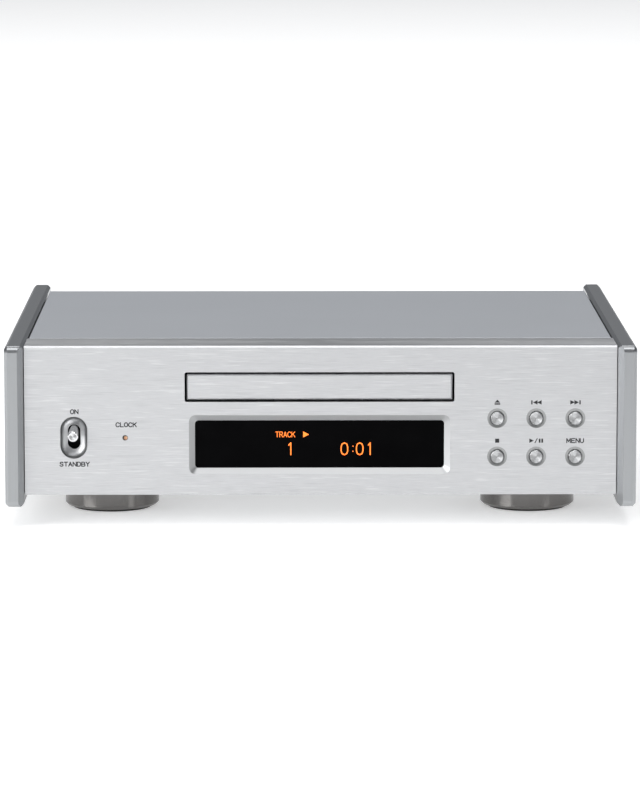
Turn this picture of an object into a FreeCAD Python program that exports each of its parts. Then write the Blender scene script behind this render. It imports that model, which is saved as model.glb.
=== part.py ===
import FreeCAD, Part
import math
import os
import re
import Sketcher

# Slim disc player, about 290 mm wide. The frame: origin on the floor under the middle of the
# case, +X to the viewer's right, +Y to the back, +Z up. Everything is in millimetres.

BOWL_STEPS = 4
V = FreeCAD.Vector
X_AXIS = V(1, 0, 0)
Y_AXIS = V(0, 1, 0)
Z_AXIS = V(0, 0, 1)

SIZES = {
    # case
    "case_width": 290, "case_front": -120.5, "case_back": 124.5, "case_top": 84.5,
    "side_thick": 8.5, "side_bottom": 9.8, "side_corner": 3, "side_bevel": 1.4,
    "side_ease_wide": 2.5, "side_ease_deep": 4.8,
    "base_bottom": 14.9, "base_thick": 1.6, "sheet_gap": 0.1, "flange_top": 79,
    "front_plane": -115.5, "front_thick": 5, "front_half": 136.1, "front_top": 84.1,
    "front_flange_back": -88, "front_flange_thick": 3.6, "front_bevel": 0.8,
    "cover_back": 97.4, "cover_thick": 2.4, "cover_half": 135.5, "cover_gap": 0.4,
    "cover_pad": 9, "rear_thick": 2, "rear_bottom": 16.7, "rear_top": 81.2, "rear_half": 134.5,
    "bracket_thick": 1.5, "bracket_top": 78, "bracket_half": 134,
    # openings in the front
    "centre_x": -0.5, "slot_half": 62, "slot_low": 58.15, "slot_high": 71.9, "slot_round": 1,
    "screen_half": 60.05, "screen_low": 24.5, "screen_high": 52, "screen_bevel": 2.7,
    "screen_round": 3, "screen_deep": 2.2, "module_deep": 6,
    # buttons
    "button_left": 81.2, "button_pitch": 17.95, "button_upper": 50.46, "button_pitch_down": 17.8,
    "button_r": 2.95, "button_hole_r": 3.2, "button_ring_r": 4.4, "button_proud": 0.9,
    "button_long": 6.4, "button_flange_r": 3.9, "button_flange": 1, "button_ring_deep": 0.65,
    "button_dish": 0.14, "button_pip_r": 1,
    # power toggle and clock light
    "power_x": -113.5, "power_z": 41.6, "bowl_half_width": 6.25, "bowl_half_height": 9.78,
    "bowl_deep": 3.4, "bowl_floor": 0.2,
    "toggle_slot_half": 2.95, "toggle_slot_half_height": 5.75,
    "toggle_r": 2.4, "toggle_root_r": 2, "toggle_pivot_y": -105.5, "toggle_tip_y": -124.5,
    "toggle_rest_angle": 8.6, "toggle_pivot_z": 46.1, "toggle_ball_r": 3.4,
    "light_x": -89.9, "light_r": 1.05, "light_hole_r": 1.25, "light_sunk": 1, "light_z": 41.56,
    # feet
    "foot_r": 22.2, "foot_x": 98.4, "foot_y": -55.3, "rear_foot_y": 74, "foot_pad_thick": 1.2,
    "foot_pad_r": 18.5, "foot_bevel": 1.2, "foot_neck_r": 20.6, "foot_neck": 0.8,
    "bolt_m_four_r": 2, "bolt_head_r": 3.8, "bolt_head": 2.4,
}

SIZES.update({
    # tray and loader
    "disc_y": -44.5, "tray_half": 60.9, "door_half": 60.95, "door_inset": 0.3,
    "door_low": 59.05, "door_high": 70.9, "door_bevel": 0.7, "tray_front": -109.6,
    "tray_back": 62, "tray_low": 63.2, "tray_high": 69.4, "tray_floor": 67.3,
    "disc_recess_r": 60.3, "small_disc_r": 40.5, "path_half": 19, "rib_inner": 54,
    "rib_wide": 3, "rib_deep": 4.2, "rack_x": 27, "rack_front": -104, "rack_high": 4,
    "rack_teeth": 50, "gear_module": 1, "fine_module": 0.6, "drive_teeth": 20,
    "large_teeth": 44, "idler_teeth": 14, "drive_y": -88, "drive_post_r": 1.6,
    "idler_post_r": 1.4, "wheel_r": 12, "pulley_r": 4, "motor_y": -40, "loader_half": 70,
    "loader_wall": 2.5, "loader_front": -108.6, "loader_back": 72, "loader_low": 22,
    "loader_top": 73, "rail_low": 58.6, "deck_front": -101.5, "deck_low": 47.5, "deck_high": 49.5,
    # traverse, spindle and pickup
    "lift_stroke": 8, "cam_travel": 14, "frame_low": 48, "frame_high": 50, "frame_half": 21,
    "frame_front": -66, "frame_back": 46, "guide_post_r": 1.6, "guide_front_x": 16,
    "guide_front_y": -62, "guide_back_x": 26, "guide_back_y": 39, "spindle_motor_r": 13,
    "spindle_motor_high": 11, "turntable_r": 15.5, "turntable_top": 60.4, "turntable_thick": 3,
    "cone_r": 7.4, "cone_high": 2.3, "sled_front": -30.5, "sled_back": -0.5, "sled_half": 17,
    "sled_low": 47, "sled_high": 56.5, "rod_r": 1.5, "rod_x": 14, "rod_z": 52.4, "lens_y": -20.5,
    "lens_r": 2.6, "sled_line": 11, "sled_teeth": 32, "sled_module": 0.5, "sled_gear_y": 6.5,
    "sled_gear_x": 19, "sled_motor_y": 10.5, "sled_rack_long": 41, "sled_rack_low": 44,
    "sled_rack_high": 2.6, "motor_teeth": 10, "cam_pin_r": 1.5,
    "cam_low": 26, "cam_high": 58, "cam_front": -72.6, "cam_thick": 2,
    "bridge_low": 75.6, "bridge_thick": 1.8, "bridge_half_deep": 17, "clamp_r": 15,
    "clamp_low": 71.8, "clamp_neck_r": 7, "clamp_top_r": 10,
    # electronics and sockets
    "board_thick": 1.6, "front_board_left": 71.5, "front_board_right": 130, "board_low": 20,
    "board_high": 57, "toggle_pin_r": 1.2, "inlet_x": -103, "inlet_z": 62, "inlet_half": 13.6,
    "inlet_half_height": 9.9, "coax_x": 62, "bnc_x": 116, "optical_x": 89, "socket_z": 46,
    "socket_hole_r": 6.6, "optical_half": 5.6, "screw_r": 1.5, "toroid_x": -103,
    "toroid_y": 8, "toroid_r": 29, "toroid_high": 32, "toroid_bore": 9, "supply_z": 24,
    "main_z": 37.8,
    "supply_left": -131, "supply_right": -75, "supply_front": 46, "board_back": 92,
    "main_left": 74, "main_right": 132, "main_front": -72, "main_arm_left": 48,
    "vent_wide": 3, "vent_long": 40, "vent_front": -30, "vent_first": -128,
    "vent_pitch": 8,
})

doc = FreeCAD.newDocument("cd_player")
sheet = doc.addObject("Spreadsheet::Sheet", "dims")
NODES = {}


def fill_sheet():
    """Writes every driving size into the sheet as plain text, with its word as alias."""
    for row, (word, value) in enumerate(SIZES.items(), start=1):
        sheet.set(f"A{row}", word)
        sheet.set(f"B{row}", str(value))
        sheet.setAlias(f"B{row}", word)
    doc.recompute()


def linked(text):
    """Turns 'case_width / 2' into an expression that reads the sheet."""
    return re.sub(r"[a-z][a-z_]*", lambda word: "dims." + word.group(), str(text))


def size(text):
    """The present value of an expression in sheet words, for shapes made in code."""
    return float(sheet.evalExpression(linked(text)))


def place(thing, at):
    """Binds the three coordinates of a placement to expressions."""
    for letter, text in zip("xyz", at):
        thing.setExpression("Placement.Base." + letter, linked(text))


def box(low, spans):
    """A box by its lowest corner and its three spans."""
    solid = doc.addObject("Part::Box", "Box")
    for field, text in zip(("Length", "Width", "Height"), spans):
        solid.setExpression(field, linked(text))
    place(solid, low)
    return solid


def block(xs, ys, zs):
    """A box between two planes along each axis."""
    spans = [f"({high}) - ({low})" for low, high in (xs, ys, zs)]
    return box((xs[0], ys[0], zs[0]), spans)


def cylinder(radius, length, at, axis=Z_AXIS):
    solid = doc.addObject("Part::Cylinder", "Cylinder")
    solid.setExpression("Radius", linked(radius))
    solid.setExpression("Height", linked(length))
    solid.Placement = FreeCAD.Placement(V(), FreeCAD.Rotation(Z_AXIS, axis))
    place(solid, at)
    return solid


def cone(low_radius, high_radius, length, at, axis=Z_AXIS):
    solid = doc.addObject("Part::Cone", "Cone")
    solid.setExpression("Radius1", linked(low_radius))
    solid.setExpression("Radius2", linked(high_radius))
    solid.setExpression("Height", linked(length))
    solid.Placement = FreeCAD.Placement(V(), FreeCAD.Rotation(Z_AXIS, axis))
    place(solid, at)
    return solid


def fuse(*things):
    joined = doc.addObject("Part::MultiFuse", "Fuse")
    joined.Shapes = list(things)
    return joined


def cut(base, *tools):
    rest = doc.addObject("Part::Cut", "Cut")
    rest.Base = base
    rest.Tool = tools[0] if len(tools) == 1 else fuse(*tools)
    return rest


def group(*things):
    """Separate solids kept in one node."""
    many = doc.addObject("Part::Compound", "Group")
    many.Links = list(things)
    return many


def tube(outer, inner, length, at, axis=Z_AXIS):
    return cut(cylinder(outer, length, at, axis), cylinder(inner, length, at, axis))


def round_edges(base, radius, wanted, kind="Part::Fillet"):
    """Rounds or bevels the edges that the test picks."""
    doc.recompute()
    picked = [n for n, edge in enumerate(base.Shape.Edges, start=1) if wanted(edge)]
    eased = doc.addObject(kind, "Eased")
    eased.Base = base
    eased.Edges = [(n, size(radius), size(radius)) for n in picked]
    return eased


def runs_along(edge, axis):
    """True for a straight edge parallel to the axis."""
    if edge.Curve.TypeId != "Part::GeomLine":
        return False
    return edge.tangentAt(edge.FirstParameter).cross(axis).Length < 1e-6


def rounded_block(xs, ys, zs, radius, axis):
    """A block whose four edges along one axis are rounded."""
    return round_edges(block(xs, ys, zs), radius, lambda edge: runs_along(edge, axis))


def turned(name, outline, at, axis=Z_AXIS):
    """A PartDesign body turned from half a profile: points are (radius, height)."""
    body = doc.addObject("PartDesign::Body", name)
    sketch = body.newObject("Sketcher::SketchObject", name + "_profile")
    sketch.AttachmentSupport = [(origin_plane(body, "XZ_Plane"), "")]
    sketch.MapMode = "FlatFace"
    add_outline(sketch, outline)
    turn = body.newObject("PartDesign::Revolution", name + "_turn")
    turn.Profile = sketch
    turn.ReferenceAxis = (sketch, ["V_Axis"])
    turn.Angle = 360
    body.Placement = FreeCAD.Placement(V(), FreeCAD.Rotation(Z_AXIS, axis))
    place(body, at)
    return body


def padded(name, plane, outline, thickness, at=(0, 0, 0)):
    """A PartDesign body padded from one closed outline on an origin plane."""
    body = doc.addObject("PartDesign::Body", name)
    sketch = body.newObject("Sketcher::SketchObject", name + "_outline")
    sketch.AttachmentSupport = [(origin_plane(body, plane), "")]
    sketch.MapMode = "FlatFace"
    add_outline(sketch, outline)
    pad = body.newObject("PartDesign::Pad", name + "_pad")
    pad.Profile = sketch
    pad.setExpression("Length", linked(thickness))
    place(body, at)
    return body


def origin_plane(body, role):
    return next(plane for plane in body.Origin.OriginFeatures if plane.Role == role)


def add_outline(sketch, outline):
    """Draws a closed chain of lines, each corner's coordinates bound to the sheet."""
    corners = [V(size(across), size(up), 0) for across, up in outline]
    count = len(corners)
    for number, corner in enumerate(corners):
        sketch.addGeometry(Part.LineSegment(corner, corners[(number + 1) % count]), False)
    for number in range(count):
        joint = Sketcher.Constraint("Coincident", number, 2, (number + 1) % count, 1)
        sketch.addConstraint(joint)
    for number, texts in enumerate(outline):
        for kind, text in zip(("DistanceX", "DistanceY"), texts):
            rule = Sketcher.Constraint(kind, -1, 1, number, 1, size(text))
            row = sketch.addConstraint(rule)
            sketch.setExpression(f"Constraints[{row}]", linked(text))


def shaped(name, shape):
    """A feature whose shape is worked out in code."""
    feature = doc.addObject("Part::Feature", name)
    feature.Shape = shape
    return feature


def node(name, thing):
    """Names a finished sub-part after its file."""
    thing.Label = name
    NODES[name] = thing
    return thing


def make_side_panel(name, side):
    """A thick extruded side with rounded corners, eased back towards the front panel."""
    inner = "case_width / 2 - side_thick"
    low = inner if side > 0 else "-case_width / 2"
    slab = block((low, f"{low} + side_thick"), ("case_front", "case_back"),
                 ("side_bottom", "case_top"))
    corners = round_edges(slab, "side_corner", lambda edge: runs_along(edge, X_AXIS))
    long_edges = round_edges(corners, "side_bevel", lambda edge: runs_along(edge, Y_AXIS),
                             "Part::Chamfer")
    face = f"{side} * ({inner})"
    outline = [(face, "case_front"), (f"{side} * ({inner} + side_ease_wide)", "case_front"),
               (face, "case_front + side_ease_deep")]
    wedge = padded(name + "_wedge", "XY_Plane", outline, "case_top - side_bottom",
                   (0, 0, "side_bottom"))
    node(name, cut(long_edges, wedge))


def front_button_places():
    """The six button centres, upper row first, from the left."""
    for row in range(2):
        for column in range(3):
            yield (f"button_left + {column} * button_pitch",
                   f"button_upper - {row} * button_pitch_down")


def make_front_panel():
    """A machined front with a top flange, the tray slot, the sunk screen and the control holes."""
    front, back = "front_plane", "front_plane + front_thick"
    outline = [("front_plane", "base_bottom"), (back, "base_bottom"),
               (back, "front_top - front_flange_thick"),
               ("front_flange_back", "front_top - front_flange_thick"),
               ("front_flange_back", "front_top"), ("front_plane", "front_top")]
    blank = padded("front_blank", "YZ_Plane", outline, "2 * front_half", ("-front_half", 0, 0))
    eased = round_edges(blank, "front_bevel", is_front_long_edge, "Part::Chamfer")
    slot = rounded_block(("centre_x - slot_half", "centre_x + slot_half"), (front, back),
                         ("slot_low", "slot_high"), "slot_round", Y_AXIS)
    tools = [slot, screen_recess(), power_opening()]
    tools.append(cylinder("light_hole_r", "front_thick", ("light_x", front, "light_z"), Y_AXIS))
    for across, up in front_button_places():
        tools.append(cylinder("button_hole_r", "front_thick", (across, front, up), Y_AXIS))
        tools.append(cone("button_ring_r", "button_hole_r", "button_ring_deep",
                          (across, front, up), Y_AXIS))
    node("front_panel", cut(eased, *tools))


def is_front_long_edge(edge):
    spot = edge.CenterOfMass
    on_front = abs(spot.y - size("front_plane")) < 0.01
    return on_front and runs_along(edge, X_AXIS)


def frame_ring(grow, depth):
    """A rounded rectangle around the screen, for one end of the bevelled recess."""
    low, high = size("screen_low") + grow, size("screen_high") - grow
    half, level = size("screen_half") - grow, size("front_plane") + depth
    slab = Part.makeBox(2 * half, 1, high - low, V(size("centre_x") - half, level, low))
    posts = [edge for edge in slab.Edges if runs_along(edge, Y_AXIS)]
    rounded = slab.makeFillet(size("screen_round") - grow / 2, posts)
    return min(rounded.Faces, key=lambda one: one.CenterOfMass.y).OuterWire


def screen_recess():
    """A bevelled frame that narrows to the glass, and the window's seat behind it."""
    wires = [frame_ring(0, 0), frame_ring(size("screen_bevel"), size("screen_deep"))]
    bevel = shaped("screen_bevel_cut", Part.makeLoft(wires, True, True))
    seat = rounded_block(glass_span(0.15), ("front_plane + screen_deep", "front_plane + front_thick"),
                         ("screen_low + 1.25", "screen_high - 1.25"), "1.5", Y_AXIS)
    return fuse(bevel, seat)


def glass_span(grow):
    """The window's left and right edges, let out by a fitting gap."""
    reach = f"screen_half - screen_bevel + 1.4 + {grow}"
    return f"centre_x - ({reach})", f"centre_x + ({reach})"


def power_opening():
    """A pill-shaped bowl with sloping walls, and the toggle's slot through its floor."""
    rings = []
    for step in range(BOWL_STEPS + 1):
        turn = math.pi / 2 * step / BOWL_STEPS
        spread, sink = round(math.cos(turn), 4), round(math.sin(turn), 4)
        rings.append(pill_ring(bowl_span("toggle_slot_half", "bowl_half_width", spread),
                               bowl_span("toggle_slot_half_height", "bowl_half_height", spread),
                               f"bowl_deep * {sink}"))
    slot = Part.Face(pill_ring("toggle_slot_half", "toggle_slot_half_height", 0))
    through = slot.extrude(V(0, size("front_thick"), 0))
    bowl = Part.makeLoft(rings, True, True)
    return shaped("power_opening", bowl.fuse(through))


def bowl_span(slot_half, mouth_half, share):
    """A half span between the slot's lip and the bowl's mouth."""
    lip = f"({slot_half} + bowl_floor)"
    return f"{lip} + ({mouth_half} - {lip}) * {share}"


def pill_ring(half_width, half_height, depth):
    """An upright outline with round ends on the power toggle's centre."""
    radius, level = size(half_width), size("front_plane") + size(depth)
    middle = V(size("power_x"), level, size("power_z"))
    rise = V(0, 0, size(half_height) - radius)
    out = V(radius, 0, 0)
    top, bottom = middle + rise, middle - rise
    crown = V(0, 0, radius)
    edges = [Part.Arc(top - out, top + crown, top + out),
             Part.LineSegment(top + out, bottom + out),
             Part.Arc(bottom + out, bottom - crown, bottom - out),
             Part.LineSegment(bottom - out, top - out)]
    return Part.Wire([edge.toShape() for edge in edges])


def make_top_cover():
    """A floating top plate on four pads that rest on the chassis flanges."""
    plate = block(("-cover_half", "cover_half"), ("front_flange_back + cover_gap", "cover_back"),
                  ("front_top - cover_thick", "front_top"))
    eased = round_edges(plate, "cover_gap", lambda edge: edge.CenterOfMass.z > size("front_top")
                        - 0.01, "Part::Chamfer")
    pads = [block((across, f"{across} + cover_pad"), (along, f"{along} + cover_pad"),
                  ("flange_top + sheet_gap", "front_top - cover_thick"))
            for across in ("-rear_half", "rear_half - cover_pad")
            for along in ("-70", "70")]
    node("top_cover", fuse(eased, *pads))


def make_chassis():
    """The folded steel base with its two side flanges."""
    wide = "case_width / 2 - side_thick - sheet_gap"
    ys = ("front_plane + front_thick + sheet_gap", "cover_back - rear_thick - sheet_gap")
    outline = [(f"-({wide})", "base_bottom"), (wide, "base_bottom"), (wide, "flange_top"),
               (f"{wide} - base_thick", "flange_top"),
               (f"{wide} - base_thick", "base_bottom + base_thick"),
               (f"-({wide}) + base_thick", "base_bottom + base_thick"),
               (f"-({wide}) + base_thick", "flange_top"), (f"-({wide})", "flange_top")]
    length = f"{ys[1]} - ({ys[0]})"
    folded = padded("folded_base", "XZ_Plane", outline, length, (0, ys[1], 0))
    holes = [cylinder("bolt_m_four_r", "base_thick", (across, along, "base_bottom"))
             for across, along in foot_places()]
    vents = [rounded_block((f"{across}", f"{across} + vent_wide"),
                           ("vent_front", "vent_front + vent_long"),
                           ("base_bottom", "base_bottom + base_thick"), "vent_wide / 2.02", Z_AXIS)
             for across in (f"vent_first + {step} * vent_pitch" for step in range(7))]
    node("bottom_chassis", cut(folded, *holes, *vents))


def make_front_bracket():
    """The steel plate behind the front that carries the control board."""
    front = "front_plane + front_thick + sheet_gap"
    plate = block(("-bracket_half", "bracket_half"), (front, f"{front} + bracket_thick"),
                  ("base_bottom + base_thick + sheet_gap", "bracket_top"))
    ys = (front, f"{front} + bracket_thick")
    slot = block(("centre_x - slot_half - 1", "centre_x + slot_half + 1"), ys,
                 ("slot_low - 1.2", "slot_high + 1.2"))
    screen = block(("centre_x - screen_half + 1", "centre_x + screen_half - 1"), ys,
                   ("screen_low + 1", "screen_high - 1"))
    toggle = block(("power_x - 8", "power_x + 8"), ys, ("power_z - 10", "power_z + 12"))
    light = cylinder("light_hole_r + 1", "bracket_thick", ("light_x", front, "light_z"), Y_AXIS)
    holes = [cylinder("button_flange_r + 0.6", "bracket_thick", (across, front, up), Y_AXIS)
             for across, up in front_button_places()]
    node("front_bracket", cut(plate, slot, screen, toggle, light, *holes))


def make_rear_panel():
    """The rear plate with its cut-outs for the inlet and the sockets."""
    front = "cover_back - rear_thick"
    ys = (front, "cover_back")
    plate = block(("-rear_half", "rear_half"), ys, ("rear_bottom", "rear_top"))
    inlet = block(("inlet_x - inlet_half - 0.2", "inlet_x + inlet_half + 0.2"), ys,
                  ("inlet_z - inlet_half_height - 0.2", "inlet_z + inlet_half_height + 0.2"))
    rounds = [cylinder("socket_hole_r", "rear_thick", (across, front, "socket_z"), Y_AXIS)
              for across in ("coax_x", "bnc_x")]
    optical = block(("optical_x - optical_half - 0.2", "optical_x + optical_half + 0.2"), ys,
                    ("socket_z - optical_half - 0.2", "socket_z + optical_half + 0.2"))
    screws = [cylinder("screw_r + 0.15", "rear_thick", (across, front, up), Y_AXIS)
              for across, up in rear_screw_places()]
    node("rear_panel", cut(plate, inlet, *rounds, optical, *screws))


def rear_screw_places():
    for across in ("-128", "-52", "52", "128"):
        for up in ("24", "75"):
            yield across, up


def foot_places():
    return (("-foot_x", "foot_y"), ("foot_x", "foot_y"), ("0", "rear_foot_y"))


def make_feet():
    """Three turned metal feet, each with a soft pad and a bolt from inside the chassis."""
    top = "base_bottom - sheet_gap"
    profile = [("0", "foot_pad_thick"), ("foot_r - foot_bevel", "foot_pad_thick"),
               ("foot_r", "foot_pad_thick + foot_bevel"), ("foot_r", f"{top} - foot_neck"),
               ("foot_neck_r", f"{top} - foot_neck"), ("foot_neck_r", top), ("0", top)]
    names = ("front_left_foot", "front_right_foot", "rear_foot")
    pads, bolts = [], []
    for name, (across, along) in zip(names, foot_places()):
        body = turned(name + "_turned", profile, (across, along, 0))
        bore = cylinder("bolt_m_four_r", "base_bottom", (across, along, "foot_pad_thick + 4"))
        node(name, cut(body, bore))
        pads.append(cylinder("foot_pad_r", "foot_pad_thick", (across, along, 0)))
        head_low = "base_bottom + base_thick"
        bolts.append(fuse(cylinder("bolt_m_four_r - 0.05", f"{head_low} - 7", (across, along, 7)),
                          cylinder("bolt_head_r", "bolt_head", (across, along, head_low))))
    node("foot_pads", group(*pads))
    node("foot_bolts", group(*bolts))


def make_screen():
    """The glass behind the sunk frame, and the display module behind the glass."""
    glass = rounded_block(glass_span(0), ("front_plane + screen_deep", "front_plane + front_thick"),
                          ("screen_low + 1.4", "screen_high - 1.4"), "1.4", Y_AXIS)
    node("display_window", glass)
    front = "front_plane + front_thick + sheet_gap + bracket_thick + 0.2"
    body = block(("centre_x - screen_half + 4", "centre_x + screen_half - 4"),
                 (front, f"{front} + module_deep"), ("screen_low + 3", "screen_high - 3"))
    node("display_module", body)


def board_front():
    return "front_plane + front_thick + 10.5"


def make_front_board():
    """One long circuit board behind the screen and the buttons, with its six switches."""
    front = board_front()
    ys = (front, f"{front} + board_thick")
    plate = block(("front_board_left", "front_board_right"), ys, ("board_low", "board_high"))
    light_board = block(("light_x - 6", "light_x + 6"), ys, ("light_z - 12", "light_z + 8"))
    node("front_circuit_board", group(plate, light_board))
    switches = []
    for across, up in front_button_places():
        body = block((f"{across} - 3", f"{across} + 3"), (f"{front} - 3.2", front),
                     (f"{up} - 3", f"{up} + 3"))
        switches.append(body)
    node("tact_switches", group(*switches))


def make_clock_light():
    """A stepped clear light pipe behind the small hole."""
    hidden = "front_plane + front_thick + 0.1"
    lens = cylinder("light_r", "front_thick + 0.1 - light_sunk",
                    ("light_x", "front_plane + light_sunk", "light_z"), Y_AXIS)
    body = cylinder("light_r + 0.9", f"{board_front()} - ({hidden})",
                    ("light_x", hidden, "light_z"), Y_AXIS)
    node("clock_light", fuse(lens, body))


def make_buttons():
    """Six turned caps with dished faces, each flanged behind the front."""
    front = "-button_proud"
    profile = [("0", f"{front} + button_dish"), ("button_r - 0.45", f"{front} + 0.03"),
               ("button_r - 0.3", front), ("button_r", f"{front} + 0.3"),
               ("button_r", "button_long - button_flange"),
               ("button_flange_r", "button_long - button_flange"),
               ("button_flange_r", "button_long"),
               ("button_pip_r", "button_long"), ("button_pip_r", "button_long + 0.3"),
               ("0", "button_long + 0.3")]
    names = ("eject_button", "previous_button", "next_button",
             "stop_button", "play_button", "menu_button")
    for name, (across, up) in zip(names, front_button_places()):
        node(name, turned(name + "_turned", profile, (across, "front_plane", up), Y_AXIS))


def make_power_toggle():
    """A bat-handled toggle that turns on a pin across its switch body."""
    angle = size("toggle_rest_angle")
    reach = size("toggle_pivot_y") - size("toggle_tip_y")
    pivot = V(size("power_x"), size("toggle_pivot_y"), size("toggle_pivot_z"))
    ball = Part.makeSphere(size("toggle_ball_r"), pivot)
    root, tip = size("toggle_root_r"), size("toggle_r")
    rod = Part.makeCylinder(root, 6, pivot, V(0, -1, 0))
    bat = Part.makeCone(root, tip, reach - 6 - 0.3, pivot + V(0, -6, 0), V(0, -1, 0))
    end = Part.makeCone(tip, tip - 0.3, 0.3, pivot + V(0, -reach + 0.3, 0), V(0, -1, 0))
    lever = ball.fuse([rod, bat, end]).removeSplitter()
    lever.rotate(pivot, X_AXIS, angle)
    hole = Part.makeCylinder(size("toggle_pin_r") + 0.05, 20, pivot - V(10, 0, 0), X_AXIS)
    node("power_toggle", shaped("toggle_lever", lever.cut(hole)))
    front = "front_plane + front_thick + sheet_gap + bracket_thick + 0.1"
    shell = block(("power_x - 7", "power_x + 7"), (front, "toggle_pivot_y + 14"),
                  ("power_z - 9", "power_z + 11"))
    hollow = block(("power_x - 5", "power_x + 5"), (front, "toggle_pivot_y + 6"),
                   ("power_z - 7", "power_z + 9"))
    pin = cylinder("toggle_pin_r", "12", ("power_x - 6", "toggle_pivot_y", "toggle_pivot_z"),
                   X_AXIS)
    node("power_switch", fuse(cut(shell, hollow), pin))


def gear_solid(teeth, module, thickness, bore, turn=0.0, backlash=0.16):
    """A spur gear on the origin: arcs at the tips, lines down the flanks and arcs at the roots."""
    pitch = module * teeth / 2
    tip, root = pitch + 0.92 * module, pitch - 1.2 * module
    half_tooth = math.pi / (2 * teeth) - backlash / (2 * pitch)
    spread = math.tan(math.radians(20)) * module / pitch
    step = 2 * math.pi / teeth

    def spot(radius, angle):
        return V(radius * math.cos(angle), radius * math.sin(angle), 0)

    edges = []
    for number in range(teeth):
        middle = number * step + turn
        wide, narrow = half_tooth + 1.2 * spread, half_tooth - 0.92 * spread
        after = middle + step - wide
        edges.append(Part.LineSegment(spot(root, middle - wide), spot(tip, middle - narrow)))
        edges.append(Part.Arc(spot(tip, middle - narrow), spot(tip, middle),
                              spot(tip, middle + narrow)))
        edges.append(Part.LineSegment(spot(tip, middle + narrow), spot(root, middle + wide)))
        edges.append(Part.Arc(spot(root, middle + wide), spot(root, (middle + wide + after) / 2),
                              spot(root, after)))
    wire = Part.Wire([edge.toShape() for edge in edges])
    solid = Part.Face(wire).extrude(V(0, 0, thickness))
    return solid.cut(Part.makeCylinder(bore, thickness))


def rack_solid(teeth, module, depth, thickness, backlash=0.16):
    """A straight rack along Y from the origin, its teeth pointing to +X, pitch line on x = 0."""
    pitch = math.pi * module
    half = pitch / 4 - backlash / 2
    lean = math.tan(math.radians(20)) * module
    corners = [V(-depth, 0, 0)]
    for number in range(teeth):
        middle = (number + 0.5) * pitch
        root_half, tip_half = half + 1.2 * lean, half - 0.92 * lean
        corners += [V(-1.2 * module, middle - root_half, 0), V(0.92 * module, middle - tip_half, 0),
                    V(0.92 * module, middle + tip_half, 0), V(-1.2 * module, middle + root_half, 0)]
    corners += [V(-depth, teeth * pitch, 0), V(-depth, 0, 0)]
    corners.insert(1, V(-1.2 * module, 0, 0))
    corners.insert(-2, V(-1.2 * module, teeth * pitch, 0))
    return Part.Face(Part.makePolygon(corners)).extrude(V(0, 0, thickness))


def make_tray():
    """The disc tray: a flat plate with a round recess, open to the back for the spindle."""
    xs = ("centre_x - tray_half", "centre_x + tray_half")
    plate = rounded_block(xs, ("tray_front", "tray_back"), ("tray_low", "tray_high"), "3", Z_AXIS)
    recess = cylinder("disc_recess_r", "tray_high - tray_floor", ("centre_x", "disc_y",
                                                                   "tray_floor"))
    small = cylinder("small_disc_r", "0.8", ("centre_x", "disc_y", "tray_floor - 0.8"))
    path = block(("centre_x - path_half", "centre_x + path_half"),
                 ("disc_y", "tray_back"), ("tray_low", "tray_high"))
    nose = cylinder("path_half", "tray_high - tray_low", ("centre_x", "disc_y", "tray_low"))
    tray = cut(plate, recess, small, path, nose)
    ribs = [block((f"centre_x + {low}", f"centre_x + {low} + rib_wide"),
                  ("tray_front + 2", "tray_back - 2"), ("tray_low - rib_deep", "tray_low"))
            for low in ("rib_inner", "(-rib_inner) - rib_wide")]
    teeth = int(size("rack_teeth"))
    rack = rack_solid(teeth, size("gear_module"), 3, size("rack_high"))
    rack.translate(V(rack_line(), size("rack_front"), size("tray_low") - size("rack_high")))
    node("disc_tray", fuse(tray, *ribs, shaped("tray_rack", rack)))
    door = block(("centre_x - door_half", "centre_x + door_half"),
                 ("front_plane + door_inset", "tray_front"), ("door_low", "door_high"))
    eased = round_edges(door, "door_bevel", lambda edge: abs(
        edge.CenterOfMass.y - size("front_plane + door_inset")) < 0.01, "Part::Chamfer")
    node("tray_door", eased)


def rack_line():
    return size("centre_x + rack_x")


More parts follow.
